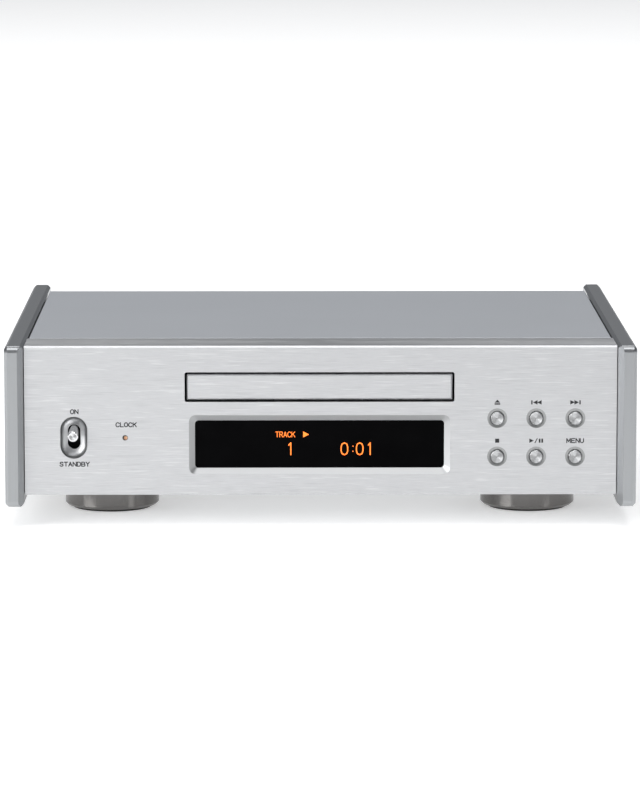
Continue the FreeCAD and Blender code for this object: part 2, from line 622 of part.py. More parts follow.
def make_loader_frame():
    """The plastic frame around the mechanism, with grooves for the tray's ribs."""
    half, wall = "loader_half", "loader_wall"
    ys = ("loader_front", "loader_back")
    sides = [block((low, f"{low} + {wall}"), ys, ("loader_low", "loader_top"))
             for low in (f"centre_x - {half}", f"centre_x + {half} - {wall}")]
    floor_high = "loader_low + 2"
    floor = block((f"centre_x - {half}", f"centre_x + {half}"), ys, ("loader_low", floor_high))
    well = block(("centre_x - 48", "centre_x + 48"), ("guide_front_y + 4", "guide_back_y - 6"),
                 ("loader_low", floor_high))
    rails = []
    for side in (1, -1):
        for inner in ("rib_inner - 2.4", "rib_inner + rib_wide + 0.4"):
            edges = sorted((f"centre_x + {side} * ({inner})",
                            f"centre_x + {side} * ({inner} + 2)"), key=size)
            rails.append(block(tuple(edges), ys, ("rail_low", "tray_low - 0.4")))
        shelf = sorted((f"centre_x + {side} * (rib_inner - 2.4)",
                        f"centre_x + {side} * loader_half"), key=size)
        rails.append(block(tuple(shelf), ys, ("rail_low - 2", "rail_low")))
    back = block((f"centre_x - {half}", f"centre_x + {half}"),
                 ("loader_back - 2", "loader_back"), ("loader_low", "rail_low - 4"))
    deck = block(("centre_x + 24", f"centre_x + {half}"), ("deck_front", "motor_y + 14"),
                 ("deck_low", "deck_high"))
    gear_x = "centre_x + rack_x + gear_module * drive_teeth / 2"
    seat = cylinder("10.7", "deck_high - deck_low", (gear_x, "motor_y", "deck_low"))
    stops = [cylinder("drive_post_r", "tray_low - 0.4 - deck_high", (gear_x, "drive_y",
                                                                      "deck_high")),
             cylinder("idler_post_r", "tray_low - 4.2 - deck_high", (gear_x, idler_y(),
                                                                      "deck_high"))]
    posts = [cylinder("guide_post_r", f"frame_high + lift_stroke + 0.5 - ({floor_high})",
                      (across, along, floor_high)) for across, along in guide_places()]
    guides = [block(("centre_x - 40", "centre_x + 24"), (low, f"{low} + 1.5"),
                    (floor_high, "cam_low + 3"))
              for low in ("cam_front - 1.8", "cam_front + cam_thick + 0.3")]
    holes = [cylinder("screw_r + 0.1", "2", (across, along, "loader_low"))
             for across, along in drive_foot_places()]
    whole = fuse(cut(floor, well, *holes), *sides, *rails, back, cut(deck, seat), *stops, *posts, *guides)
    node("loader_frame", whole)


def idler_y():
    return "drive_y + fine_module * (large_teeth + idler_teeth) / 2"


def make_tray_gears():
    """The drive gear under the rack, the belt wheel that turns it, and the motor's pulley."""
    module, fine = size("gear_module"), size("fine_module")
    drive_teeth, large_teeth = int(size("drive_teeth")), int(size("large_teeth"))
    idler_teeth = int(size("idler_teeth"))
    rack_low = size("tray_low") - size("rack_high")
    gear_x = rack_line() + module * drive_teeth / 2
    drive = V(gear_x, size("drive_y"), rack_low)
    post_bore = size("drive_post_r") + 0.06
    first = size("rack_front") + math.pi * module / 2
    top = gear_solid(drive_teeth, module, size("rack_high") - 0.4, post_bore,
                     rack_turn(first, size("drive_y"), module * drive_teeth / 2, drive_teeth))
    top.translate(drive + V(0, 0, 0.2))
    large = gear_solid(large_teeth, fine, 3, post_bore)
    large.translate(drive - V(0, 0, 3))
    hub = Part.makeCylinder(5, 0.2, drive).cut(Part.makeCylinder(post_bore, 0.2, drive))
    node("drive_gear", shaped("drive_gear_cut", top.fuse([large, hub])))
    idler = V(gear_x, size(idler_y()), rack_low - 3.3)
    idler_bore = size("idler_post_r") + 0.06
    pinion = gear_solid(idler_teeth, fine, 3.2, idler_bore,
                        meshed_turn(math.pi / 2, 0, large_teeth, idler_teeth))
    pinion.translate(idler)
    wheel_at = idler - V(0, 0, 3.2)
    wheel = grooved_wheel(size("wheel_r"), idler_bore, wheel_at)
    node("belt_wheel", shaped("belt_wheel_cut", wheel.fuse(pinion)))
    motor = V(gear_x, size("motor_y"), wheel_at.z)
    node("motor_pulley", shaped("motor_pulley_cut", grooved_wheel(size("pulley_r"), 1.06, motor)))
    node("loading_belt", shaped("belt_loop", belt_shape(motor, wheel_at)))
    can = Part.makeCylinder(10.5, 16, motor - V(0, 0, 16.6))
    shaft = Part.makeCylinder(1, 19.2, motor - V(0, 0, 16.1))
    node("loading_motor", shaped("loading_motor_can", can.fuse(shaft)))


def grooved_wheel(radius, bore, at):
    """A belt wheel 3.2 mm wide with a round groove in its rim."""
    groove = Part.makeTorus(radius + 0.5, 1.2, at + V(0, 0, 1.6))
    return Part.makeCylinder(radius, 3.2, at).cut([groove, Part.makeCylinder(bore, 3.2, at)])


def belt_shape(motor, wheel):
    """A round belt: two straight runs and two arcs around the pulley and the wheel."""
    belt_r, gap = 0.55, 0.1
    small = size("pulley_r") - 0.7 + belt_r + gap
    large = size("wheel_r") - 0.7 + belt_r + gap
    reach = (wheel - motor).Length
    lean = math.acos((large - small) / reach)
    toward = math.atan2(motor.y - wheel.y, motor.x - wheel.x)
    level = V(0, 0, 1.6)

    def spot(middle, radius, angle):
        return middle + level + V(radius * math.cos(angle), radius * math.sin(angle), 0)

    outer = Part.Arc(spot(wheel, large, toward + lean), spot(wheel, large, toward + math.pi),
                     spot(wheel, large, toward - lean))
    inner = Part.Arc(spot(motor, small, toward - lean), spot(motor, small, toward),
                     spot(motor, small, toward + lean))
    runs = [Part.LineSegment(spot(wheel, large, toward + side * lean),
                             spot(motor, small, toward + side * lean)) for side in (-1, 1)]
    path = Part.Wire(Part.__sortEdges__([part.toShape() for part in (outer, inner, *runs)]))
    start = path.OrderedVertexes[0].Point
    ring = Part.Wire(Part.makeCircle(belt_r, start, path.OrderedEdges[0].tangentAt(
        path.OrderedEdges[0].FirstParameter)))
    return path.makePipeShell([ring], True, False)


def meshed_turn(toward, turn, teeth, mate_teeth):
    """The turn of a mating gear whose centre lies in the direction 'toward'."""
    return toward + math.pi - (turn - toward) * teeth / mate_teeth + math.pi / mate_teeth


def rack_turn(first_tooth, gear_y, radius, teeth):
    """The turn of a pinion that stands on the +X side of a rack."""
    return math.pi - (first_tooth - gear_y) / radius + math.pi / teeth


def cam_slots():
    """Two sloped slots, each the path of a traverse pin across the sliding cam."""
    run, rise = size("cam_travel"), size("lift_stroke")
    radius = size("cam_pin_r") + 0.25
    slots = []
    for across in cam_pin_places():
        start = V(across, size("cam_front"), size("frame_low + frame_high") / 2 - 1)
        end = start + V(run, 0, rise)
        side = V(-rise, 0, run).normalize() * radius
        edges = [Part.LineSegment(start + side, end + side),
                 Part.Arc(end + side, end + V(run, 0, rise).normalize() * radius, end - side),
                 Part.LineSegment(end - side, start - side),
                 Part.Arc(start - side, start - V(run, 0, rise).normalize() * radius,
                          start + side)]
        wire = Part.Wire([edge.toShape() for edge in edges])
        slots.append(Part.Face(wire).extrude(V(0, size("cam_thick"), 0)))
    return slots


def cam_pin_places():
    return size("centre_x") - 16, size("centre_x") + 2


def make_cam_slider():
    plate = block(("centre_x - 20", "centre_x + 20"), ("cam_front", "cam_front + cam_thick"),
                  ("cam_low", "cam_high"))
    slots = [shaped("cam_slot", slot) for slot in cam_slots()]
    foot = block(("centre_x - 20", "centre_x + 20"), ("cam_front - 3", "cam_front"),
                 ("cam_low + 4", "cam_low + 6"))
    node("cam_slider", fuse(cut(plate, *slots), foot))


def make_traverse_frame():
    """The lifting frame: it carries the spindle, the pickup's rods and the sled drive."""
    zs = ("frame_low", "frame_high")
    plate = block(("centre_x - frame_half", "centre_x + frame_half"),
                  ("frame_front", "frame_back"), zs)
    ears = block(("centre_x - 30", "centre_x + 30"), ("frame_back - 13", "frame_back"), zs)
    skirt = block(("centre_x - frame_half", "centre_x - frame_half + 2"),
                  ("frame_front", "frame_back - 13"), ("frame_low - 3", "frame_low"))
    nose = block(("centre_x - frame_half", "centre_x + frame_half"),
                 ("frame_front", "frame_front + 2"), ("frame_low - 6", "frame_low"))
    ends = [block((f"centre_x {sign} rod_x - 2.6", f"centre_x {sign} rod_x + 2.6"), ys,
                  ("frame_high", "rod_z + 2.6"))
            for sign in "+-" for ys in (("sled_front - 3.6", "sled_front - 0.8"),
                                        ("frame_back - 9", "frame_back - 6"))]
    bosses = [cylinder("guide_post_r + 1.6", "6", (across, along, "frame_low - 4"))
              for across, along in guide_places()]
    pins = [cylinder("cam_pin_r", "frame_front - cam_front + 0.6",
                     (str(across), "cam_front - 0.6", "(frame_low + frame_high) / 2 - 1"),
                     Y_AXIS) for across in cam_pin_places()]
    bracket = block(("centre_x + 13.5", "centre_x + 25"), ("sled_gear_y + 4.5", "sled_gear_y + 19"),
                    ("frame_low - 6.5", "frame_low - 4.7"))
    strap = block(("centre_x + sled_half + 0.6", "centre_x + frame_half"),
                  ("sled_gear_y + 17", "sled_gear_y + 19"), ("frame_low - 6.5", "frame_low"))
    gear_post = cylinder("1.2", "frame_low - sled_rack_low + 0.2",
                         ("centre_x + sled_gear_x", "sled_gear_y", "sled_rack_low - 0.2"))
    window = block(("centre_x - sled_half - 0.5", "centre_x + sled_half + 0.5"),
                   ("sled_front - 0.6", "frame_back - 10"), zs)
    holes = [cylinder("guide_post_r + 0.07", "8", (across, along, "frame_low - 5"))
             for across, along in guide_places()]
    shaft = cylinder("4", "2", ("centre_x", "disc_y", "frame_low"))
    motor = cylinder("1.3", "3", ("centre_x + sled_gear_x", "sled_gear_y + sled_motor_y",
                                   "frame_low - 7"))
    rods = [cylinder("rod_r", "frame_back - sled_front", (f"centre_x {sign} rod_x",
            "sled_front - 3", "rod_z"), Y_AXIS) for sign in "+-"]
    whole = fuse(plate, ears, skirt, nose, *ends, *bosses, *pins, bracket, strap, gear_post)
    node("traverse_frame", cut(whole, window, *holes, shaft, motor, *rods))
    node("guide_rods", group(*[cylinder("rod_r", "frame_back - sled_front - 4",
         (f"centre_x {sign} rod_x", "sled_front - 3", "rod_z"), Y_AXIS) for sign in "+-"]))


def guide_places():
    for sign in "+-":
        yield f"centre_x {sign} guide_front_x", "guide_front_y"
        yield f"centre_x {sign} guide_back_x", "guide_back_y"


def make_spindle():
    low = "frame_low - spindle_motor_high"
    can = cylinder("spindle_motor_r", "spindle_motor_high - 0.05", ("centre_x", "disc_y", low))
    neck = cylinder("3.9", "frame_high - frame_low", ("centre_x", "disc_y", "frame_low - 0.05"))
    node("spindle_motor", cut(fuse(can, neck), cylinder("1.05", "20", ("centre_x", "disc_y",
                                                                       f"{low} + 3"))))
    profile = [("0", f"{low} + 3.4"), ("1", f"{low} + 3.4"),
               ("1", "turntable_top - turntable_thick - 3"),
               ("4", "turntable_top - turntable_thick - 3"),
               ("4", "turntable_top - turntable_thick"),
               ("turntable_r", "turntable_top - turntable_thick"),
               ("turntable_r", "turntable_top"), ("cone_r", "turntable_top"),
               ("cone_r - 1.6", "turntable_top + cone_high"),
               ("1.4", "turntable_top + cone_high"), ("1.4", "turntable_top + cone_high - 1"),
               ("0", "turntable_top + cone_high - 1")]
    node("turntable", turned("turntable_turned", profile, ("centre_x", "disc_y", 0)))


def make_pickup():
    body = rounded_block(("centre_x - sled_half", "centre_x + sled_half"),
                         ("sled_front", "sled_back"), ("sled_low", "sled_high"), "2.5", Z_AXIS)
    bores = [cylinder("rod_r + 0.06", "40", (f"centre_x {sign} rod_x", "sled_front - 2", "rod_z"),
                      Y_AXIS) for sign in "+-"]
    well = block(("centre_x - 8", "centre_x + 8"), ("lens_y - 6.5", "lens_y + 6.5"),
                 ("sled_high - 4", "sled_high"))
    slab = cut(body, well, *bores)
    bar = block(("centre_x + sled_line - 5", "centre_x + sled_line - 1.5"),
                ("sled_front", "sled_front + sled_rack_long"), ("sled_rack_low", "sled_rack_low + 3"))
    teeth = int(size("sled_rack_long") / (math.pi * size("sled_module")))
    rack = rack_solid(teeth, size("sled_module"), 2.5, size("sled_rack_high"), 0.12)
    rack.translate(V(size("centre_x + sled_line"), size("sled_front"), size("sled_rack_low")))
    node("pickup_sled", fuse(slab, bar, shaped("sled_rack", rack)))
    holder = block(("centre_x - 6.5", "centre_x + 6.5"), ("lens_y - 5", "lens_y + 5"),
                   ("sled_high - 3", "sled_high + 0.9"))
    lens = Part.makeCylinder(size("lens_r"), 1.4, V(size("centre_x"), size("lens_y"),
                                                    size("sled_high") + 0.9))
    dome = Part.makeSphere(6, V(size("centre_x"), size("lens_y"), size("sled_high") - 3.75))
    ring = round_edges(holder, "1.5", lambda edge: runs_along(edge, Z_AXIS))
    node("lens_holder", fuse(ring, shaped("focus_lens", lens.common(dome))))


def make_sled_drive():
    gear_x, gear_y = size("centre_x + sled_gear_x"), size("sled_gear_y")
    teeth, module = int(size("sled_teeth")), size("sled_module")
    first = size("sled_front") + math.pi * module / 2
    turn = rack_turn(first, gear_y, module * teeth / 2, teeth)
    gear = gear_solid(teeth, module, size("sled_rack_high") - 0.4, 1.26, turn, 0.12)
    gear.translate(V(gear_x, gear_y, size("sled_rack_low") + 0.2))
    node("sled_gear", shaped("sled_gear_cut", gear))
    small = int(size("motor_teeth"))
    own = gear_solid(small, module, size("sled_rack_high") - 0.4, 0.55,
                     meshed_turn(math.pi / 2, turn, teeth, small), 0.12)
    own.translate(V(gear_x, gear_y + size("sled_motor_y"), size("sled_rack_low") + 0.2))
    node("sled_pinion", shaped("sled_pinion_cut", own))
    at = ("centre_x + sled_gear_x", "sled_gear_y + sled_motor_y")
    can = cylinder("5", "9", (*at, "frame_low - 15.6"))
    shaft = cylinder("0.5", "frame_low - sled_rack_low + 2.6", (*at, "frame_low - 7"))
    node("sled_motor", fuse(can, shaft))


def make_clamp():
    """The bridge over the tray and the magnetic disc clamp that hangs in it."""
    half = "loader_half"
    plate = block((f"centre_x - {half}", f"centre_x + {half}"),
                  ("disc_y - bridge_half_deep", "disc_y + bridge_half_deep"),
                  ("bridge_low", "bridge_low + bridge_thick"))
    legs = [block((low, f"{low} + loader_wall"),
                  ("disc_y - bridge_half_deep", "disc_y + bridge_half_deep"),
                  ("loader_top", "bridge_low"))
            for low in (f"centre_x - {half}", f"centre_x + {half} - loader_wall")]
    hole = cylinder("clamp_neck_r + 0.8", "bridge_thick", ("centre_x", "disc_y", "bridge_low"))
    node("clamp_bridge", cut(fuse(plate, *legs), hole))
    top = "bridge_low + bridge_thick + 0.35"
    node("disc_clamp", turned("disc_clamp_turned", [
        ("0", "clamp_low + 2"), ("cone_r + 0.4", "clamp_low + 2"), ("cone_r + 0.4", "clamp_low"),
        ("clamp_r", "clamp_low"), ("clamp_r", "clamp_low + 2.8"),
        ("clamp_neck_r", "clamp_low + 2.8"), ("clamp_neck_r", top), ("clamp_top_r", top),
        ("clamp_top_r", f"{top} + 1.2"), ("0", f"{top} + 1.2")], ("centre_x", "disc_y", 0)))


def make_transformer():
    """A toroidal transformer held to the base by a dished plate and one bolt."""
    low = "base_bottom + base_thick + 1"
    at = ("toroid_x", "toroid_y")
    ring = turned("toroid_turned", [
        ("toroid_bore", low), ("toroid_r - 4", low), ("toroid_r", f"{low} + 4"),
        ("toroid_r", f"{low} + toroid_high - 4"), ("toroid_r - 4", f"{low} + toroid_high"),
        ("toroid_bore", f"{low} + toroid_high")], (*at, 0))
    node("toroidal_transformer", ring)
    mat = cylinder("toroid_r - 2", "1", (*at, "base_bottom + base_thick"))
    top = f"{low} + toroid_high"
    plate = cylinder("22", "1.5", (*at, top))
    bolt = cylinder("2.5", f"{top} + 3 - (base_bottom + base_thick)",
                    (*at, "base_bottom + base_thick"))
    nut = cylinder("5", "4", (*at, f"{top} + 1.5"))
    node("transformer_clamp", fuse(mat, plate, bolt, nut))


def make_supply():
    """The power supply board behind the transformer, with capacitors and a heat sink."""
    top = "supply_z + board_thick"
    plate = block(("supply_left", "supply_right"), ("supply_front", "board_back"), ("supply_z", top))
    node("power_supply_board", plate)
    cans = [cylinder("7.5", "24", (across, "56", top)) for across in ("-121", "-103", "-85")]
    node("supply_capacitors", group(*cans))
    fins = [block((f"-128 + {step} * 4.4", f"-128 + {step} * 4.4 + 1.6"), ("68.5", "76"),
                  (top, f"{top} + 20")) for step in range(11)]
    spine = block(("-128", "-82.4"), ("66.5", "68.5"), (top, f"{top} + 20"))
    node("heat_sink", fuse(spine, *fins))


def make_main_board():
    """The output board on the right, with its chips and the clock oscillator can."""
    top = "main_z + board_thick"
    side = block(("main_left", "main_right"), ("main_front", "board_back"), ("main_z", top))
    arm = block(("main_arm_left", "main_left"), ("76", "board_back"), ("main_z", top))
    node("main_board", fuse(side, arm))
    chips = [block((f"{across}", f"{across} + {wide}"), (f"{along}", f"{along} + {deep}"),
                   (top, f"{top} + {high}"))
             for across, along, wide, deep, high in (
                 (84, -52, 16, 16, 1.8), (108, -50, 12, 18, 2.2), (82, -20, 22, 22, 7),
                 (110, -18, 14, 10, 2), (110, 2, 14, 10, 2), (84, 22, 10, 20, 9),
                 (100, 24, 10, 20, 9))]
    node("board_chips", group(*chips))


def make_sockets():
    """The mains inlet, two round sockets and the optical output with its flap."""
    face = "cover_back"
    body = rounded_block(("inlet_x - inlet_half", "inlet_x + inlet_half"),
                         (f"{face} - 22", f"{face}"),
                         ("inlet_z - inlet_half_height", "inlet_z + inlet_half_height"), "2.5",
                         Y_AXIS)
    flange = rounded_block(("inlet_x - inlet_half - 2.5", "inlet_x + inlet_half + 2.5"),
                           (face, f"{face} + 2"),
                           ("inlet_z - inlet_half_height - 2", "inlet_z + inlet_half_height + 2"),
                           "3", Y_AXIS)
    well = rounded_block(("inlet_x - inlet_half + 1.5", "inlet_x + inlet_half - 1.5"),
                         (f"{face} - 16", f"{face} + 2"),
                         ("inlet_z - inlet_half_height + 1.4",
                          "inlet_z + inlet_half_height - 1.4"), "2", Y_AXIS)
    blades = [block((f"inlet_x + {across} - 1", f"inlet_x + {across} + 1"),
                    (f"{face} - 17", f"{face} - 1"),
                    (f"inlet_z + {up} - 2", f"inlet_z + {up} + 2"))
              for across, up in ((-7, -1.6), (0, 1.6), (7, -1.6))]
    node("mains_inlet", fuse(cut(fuse(body, flange), well), *blades))
    node("coaxial_socket", make_round_socket("coax_x", "4.15", "1.6", "9.5"))
    lugs = cylinder("1", "11.2", ("bnc_x", f"{face} + 7", "socket_z - 5.6"))
    node("clock_socket", make_round_socket("bnc_x", "4.8", "1.1", "11", lugs))
    zs = ("socket_z - optical_half", "socket_z + optical_half")
    shell = block(("optical_x - optical_half", "optical_x + optical_half"),
                  (f"{face} - 14", f"{face} + 0.6"), zs)
    hollow = block(("optical_x - optical_half + 1.2", "optical_x + optical_half - 1.2"),
                   (f"{face} - 11", f"{face} + 0.6"),
                   ("socket_z - optical_half + 1.2", "socket_z + optical_half - 1.2"))
    node("optical_socket", cut(shell, hollow))
    flap = block(("optical_x - optical_half + 1.5", "optical_x + optical_half - 1.5"),
                 (f"{face} - 1", f"{face} - 0.2"),
                 ("socket_z - optical_half + 1.5", "socket_z + optical_half - 1.6"))
    node("optical_flap", flap)


def make_round_socket(across, radius, bore, proud, *lugs):
    """A round socket: body, flange and barrel, with a bored contact in the barrel's well."""
    face = "cover_back"
    body = cylinder("socket_hole_r - 0.2", "12", (across, f"{face} - 12", "socket_z"), Y_AXIS)
    flange = cylinder("socket_hole_r + 1.4", "1.4", (across, face, "socket_z"), Y_AXIS)
    barrel = cylinder(radius, proud, (across, face, "socket_z"), Y_AXIS)
    well = tube(f"{radius} - 0.9", "2.1", "9", (across, f"{face} + {proud} - 9", "socket_z"),
                Y_AXIS)
    pin = cylinder(bore, "8", (across, f"{face} + {proud} - 8", "socket_z"), Y_AXIS)
    return cut(fuse(body, flange, barrel, *lugs), well, pin)


def make_ribbon():
    """The flat cable from the drive's back to the main board, folded along straight runs."""
    low = "base_bottom + base_thick + 0.6"
    flat = block(("30", "80"), ("74", "85"), (low, f"{low} + 0.5"))
    up_board = block(("79.5", "80"), ("74", "85"), (f"{low} + 0.5", "main_z - 0.1"))
    up_drive = block(("30", "30.5"), ("74", "85"), (f"{low} + 0.5", "loader_low + 8"))
    tongue = block(("30", "30.5"), ("72.1", "74"), ("loader_low + 2", "loader_low + 8"))
    node("ribbon_cable", fuse(flat, up_board, up_drive, tongue))


def screw(at, axis, length):
    """A pan-head screw whose head sits at the given place."""
    shank = cylinder("screw_r", length, at, axis)
    head = cylinder("screw_r + 1.5", "1.8", at, axis * -1)
    return fuse(head, shank)


def make_screws():
    """Screws for the rear panel and the drive, and the standoffs under the drive and boards."""
    rear = [screw((across, "cover_back", up), Y_AXIS * -1, "rear_thick - 0.1")
            for across, up in rear_screw_places()]
    floor = "base_bottom + base_thick"
    down = [screw((across, along, "loader_low + 2"), Z_AXIS * -1, f"loader_low + 2 - ({floor}) - 0.1")
            for across, along in drive_foot_places()]
    node("case_screws", group(*rear, *down))
    dampers = [tube("5", "screw_r + 0.1", f"loader_low - ({floor})", (across, along, floor))
               for across, along in drive_foot_places()]
    supply = [cylinder("2.6", f"supply_z - ({floor})", (across, along, floor))
              for across in ("supply_left + 4", "supply_right - 4")
              for along in ("supply_front + 4", "board_back - 4")]
    output = [cylinder("2.6", f"main_z - ({floor})", (across, along, floor))
              for across in ("main_left + 4", "main_right - 4")
              for along in ("main_front + 6", "board_back - 4")]
    node("standoffs", group(*dampers, *supply, *output))


def drive_foot_places():
    for across in ("centre_x - 58", "centre_x + 58"):
        for along in ("-98", "62"):
            yield across, along


def check_document():
    """Stops before writing anything if an object failed or a sub-part isn't a sound solid."""
    doc.recompute()
    for thing in doc.Objects:
        if "Invalid" in thing.State or "Error" in thing.State:
            raise RuntimeError(f"{thing.Name} ({thing.Label}) failed: {thing.State}")
    for name, thing in NODES.items():
        if thing.Shape.isNull() or not thing.Shape.isValid() or thing.Shape.Volume < 1:
            raise RuntimeError(f"{name} has no sound shape")


def write_parts():
    os.makedirs("parts", exist_ok=True)
    for name, thing in NODES.items():
        thing.Shape.exportStep(f"parts/{name}.step")
    print(len(NODES), "sub-parts written")


fill_sheet()
make_side_panel("left_side_panel", -1)
make_side_panel("right_side_panel", 1)
make_front_panel()
make_top_cover()
make_chassis()
make_front_bracket()
make_rear_panel()
make_feet()
make_screen()
make_front_board()
make_clock_light()
make_buttons()
make_power_toggle()
make_loader_frame()
make_tray()
make_tray_gears()
make_cam_slider()
make_traverse_frame()
make_spindle()
make_pickup()
make_sled_drive()
make_clamp()
make_transformer()
make_supply()
make_main_board()
make_sockets()
make_ribbon()
make_screws()
check_document()
write_parts()
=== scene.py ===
import math

import bmesh
import bpy
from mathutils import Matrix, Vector


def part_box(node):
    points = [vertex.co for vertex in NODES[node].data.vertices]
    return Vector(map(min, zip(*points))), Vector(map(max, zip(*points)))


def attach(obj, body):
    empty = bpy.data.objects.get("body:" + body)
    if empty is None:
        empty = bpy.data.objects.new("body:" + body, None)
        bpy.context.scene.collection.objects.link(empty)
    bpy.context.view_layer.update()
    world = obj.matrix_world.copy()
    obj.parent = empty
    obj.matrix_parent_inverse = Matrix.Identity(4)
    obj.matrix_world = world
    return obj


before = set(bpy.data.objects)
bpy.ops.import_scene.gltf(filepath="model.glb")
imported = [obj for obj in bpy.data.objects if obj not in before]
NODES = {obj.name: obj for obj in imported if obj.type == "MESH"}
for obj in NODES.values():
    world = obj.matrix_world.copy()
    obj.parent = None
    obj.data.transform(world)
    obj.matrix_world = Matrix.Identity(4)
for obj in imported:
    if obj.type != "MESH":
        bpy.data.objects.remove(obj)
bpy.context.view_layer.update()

# The slim disc player's looks: materials for every carried-over node, the small pieces that the
# frame doesn't hold (printed labels, lit characters, linings, trim, a collar of painted shadow
# and shadow rings), the floor, the lights and the camera. The turned metal of the buttons and of
# the toggle's end carries a painted highlight and painted shade in its colour.

MM = 0.001
BUTTONS = ("eject_button", "previous_button", "next_button",
           "stop_button", "play_button", "menu_button")

# Sizes of the CAD part that the frame doesn't name, in millimetres or degrees.
PANEL_STANDS_PROUD = 5
SCREEN_HALF, SCREEN_LOW, SCREEN_HIGH, SCREEN_ROUND, SCREEN_BEVEL = 60.05, 24.5, 52, 3, 2.68
POWER_Z = 41.6
BOWL_LIP, BOWL_SPREAD, BOWL_DEEP, BOWL_STEPS = (3.15, 5.95), (3.1, 3.83), 3.4, 4
TOGGLE_PIVOT_Y, TOGGLE_PIVOT_Z, TOGGLE_REACH, TOGGLE_LEAN = -105.5, 46.1, 19, 8.6


def middle_of(name):
    """The middle of a node's box."""
    low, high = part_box(name)
    return Vector([(a + b) / 2 for a, b in zip(low, high)])


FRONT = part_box("left_side_panel")[0][1] + PANEL_STANDS_PROUD * MM


# ---------------------------------------------------------------- material helpers

def new_material(name):
    """An empty node material with its output and shader in place."""
    material = bpy.data.materials.new(name)
    material.use_nodes = True
    tree = material.node_tree
    tree.nodes.clear()
    output = tree.nodes.new("ShaderNodeOutputMaterial")
    shader = tree.nodes.new("ShaderNodeBsdfPrincipled")
    tree.links.new(shader.outputs["BSDF"], output.inputs["Surface"])
    return material, tree, shader


def place_coordinates(tree, scale):
    """Object coordinates, stretched so that a pattern follows the part."""
    where = tree.nodes.new("ShaderNodeTexCoord")
    mapping = tree.nodes.new("ShaderNodeMapping")
    mapping.inputs["Scale"].default_value = scale
    tree.links.new(where.outputs["Object"], mapping.inputs["Vector"])
    return mapping.outputs["Vector"]


def noise(tree, vector, scale, detail=4.0, rough=0.55):
    """Cloudy noise around 0.5."""
    node = tree.nodes.new("ShaderNodeTexNoise")
    node.inputs["Scale"].default_value = scale
    node.inputs["Detail"].default_value = detail
    node.inputs["Roughness"].default_value = rough
    tree.links.new(vector, node.inputs["Vector"])
    return node.outputs["Fac"]


def ramp(tree, fac, stops):
    """A colour ramp: stops are (position, colour) with grey levels allowed."""
    node = tree.nodes.new("ShaderNodeValToRGB")
    band = node.color_ramp
    while len(band.elements) < len(stops):
        band.elements.new(0.5)
    for element, (position, colour) in zip(band.elements, stops):
        if isinstance(colour, (int, float)):
            colour = (colour, colour, colour)
        element.position = position
        element.color = (*colour, 1.0)
    tree.links.new(fac, node.inputs["Fac"])
    return node.outputs["Color"]


def spread(tree, fac, low, high):
    """Maps a 0 to 1 pattern to a range of roughness."""
    node = tree.nodes.new("ShaderNodeMapRange")
    node.inputs["From Min"].default_value = 0.3
    node.inputs["From Max"].default_value = 0.7
    node.inputs["To Min"].default_value = low
    node.inputs["To Max"].default_value = high
    tree.links.new(fac, node.inputs["Value"])
    return node.outputs["Result"]


def arithmetic(tree, operation, fac, *numbers):
    """One sum on a linked value, with fixed numbers for its other inputs."""
    node = tree.nodes.new("ShaderNodeMath")
    node.operation = operation
    for place, number in enumerate(numbers, 1):
        node.inputs[place].default_value = number
    tree.links.new(fac, node.inputs[0])
    return node


def from_middle(tree, centre):
    """Object coordinates measured from a point."""
    where = tree.nodes.new("ShaderNodeTexCoord")
    shift = tree.nodes.new("ShaderNodeVectorMath")
    shift.operation = "SUBTRACT"
    shift.inputs[1].default_value = centre
    tree.links.new(where.outputs["Object"], shift.inputs[0])
    return shift.outputs[0]


def turn_fraction(tree, vector):
    """How far round the vector's Z axis a point lies, from 0 to 1."""
    turn = tree.nodes.new("ShaderNodeTexGradient")
    turn.gradient_type = "RADIAL"
    tree.links.new(vector, turn.inputs["Vector"])
    return turn.outputs["Fac"]


def turned_highlight(tree, shader, axis):
    """Stretches highlights across the fine grooves of metal turned round an axis."""
    shader.inputs["Anisotropic"].default_value = 0.95
    shader.inputs["Anisotropic Rotation"].default_value = 0.25
    around = tree.nodes.new("ShaderNodeTangent")
    around.direction_type = "RADIAL"
    around.axis = axis
    tree.links.new(around.outputs["Tangent"], shader.inputs["Tangent"])


def bump(tree, shader, height, strength, distance):
    """Raises the surface by a pattern."""
    node = tree.nodes.new("ShaderNodeBump")
    node.inputs["Strength"].default_value = strength
    node.inputs["Distance"].default_value = distance
    tree.links.new(height, node.inputs["Height"])
    tree.links.new(node.outputs["Normal"], shader.inputs["Normal"])


def tones(colour, swing):
    """A darker and a lighter version of a colour."""
    dark = tuple(max(0.0, part * (1 - swing)) for part in colour)
    light = tuple(min(1.0, part * (1 + swing)) for part in colour)
    return dark, light


def metal(name, colour, rough, grain, grain_scale, swing, depth, rough_swing=0.05):
    """Metal with a grain that may run along one axis, and slow cloudy variation."""
    material, tree, shader = new_material(name)
    fine = noise(tree, place_coordinates(tree, grain), grain_scale, 6.0, 0.6)
    slow = noise(tree, place_coordinates(tree, (1, 1, 1)), 14.0, 2.0)
    mix = arithmetic(tree, "MULTIPLY_ADD", fine, 0.75)
    tree.links.new(arithmetic(tree, "MULTIPLY", slow, 0.25).outputs[0], mix.inputs[2])
    dark, light = tones(colour, swing)
    colours = ramp(tree, mix.outputs[0], [(0.3, dark), (0.7, light)])
    tree.links.new(colours, shader.inputs["Base Color"])
    roughness = spread(tree, fine, rough - rough_swing, rough + rough_swing)
    tree.links.new(roughness, shader.inputs["Roughness"])
    shader.inputs["Metallic"].default_value = 1.0
    bump(tree, shader, fine, depth, 0.0002)
    return material


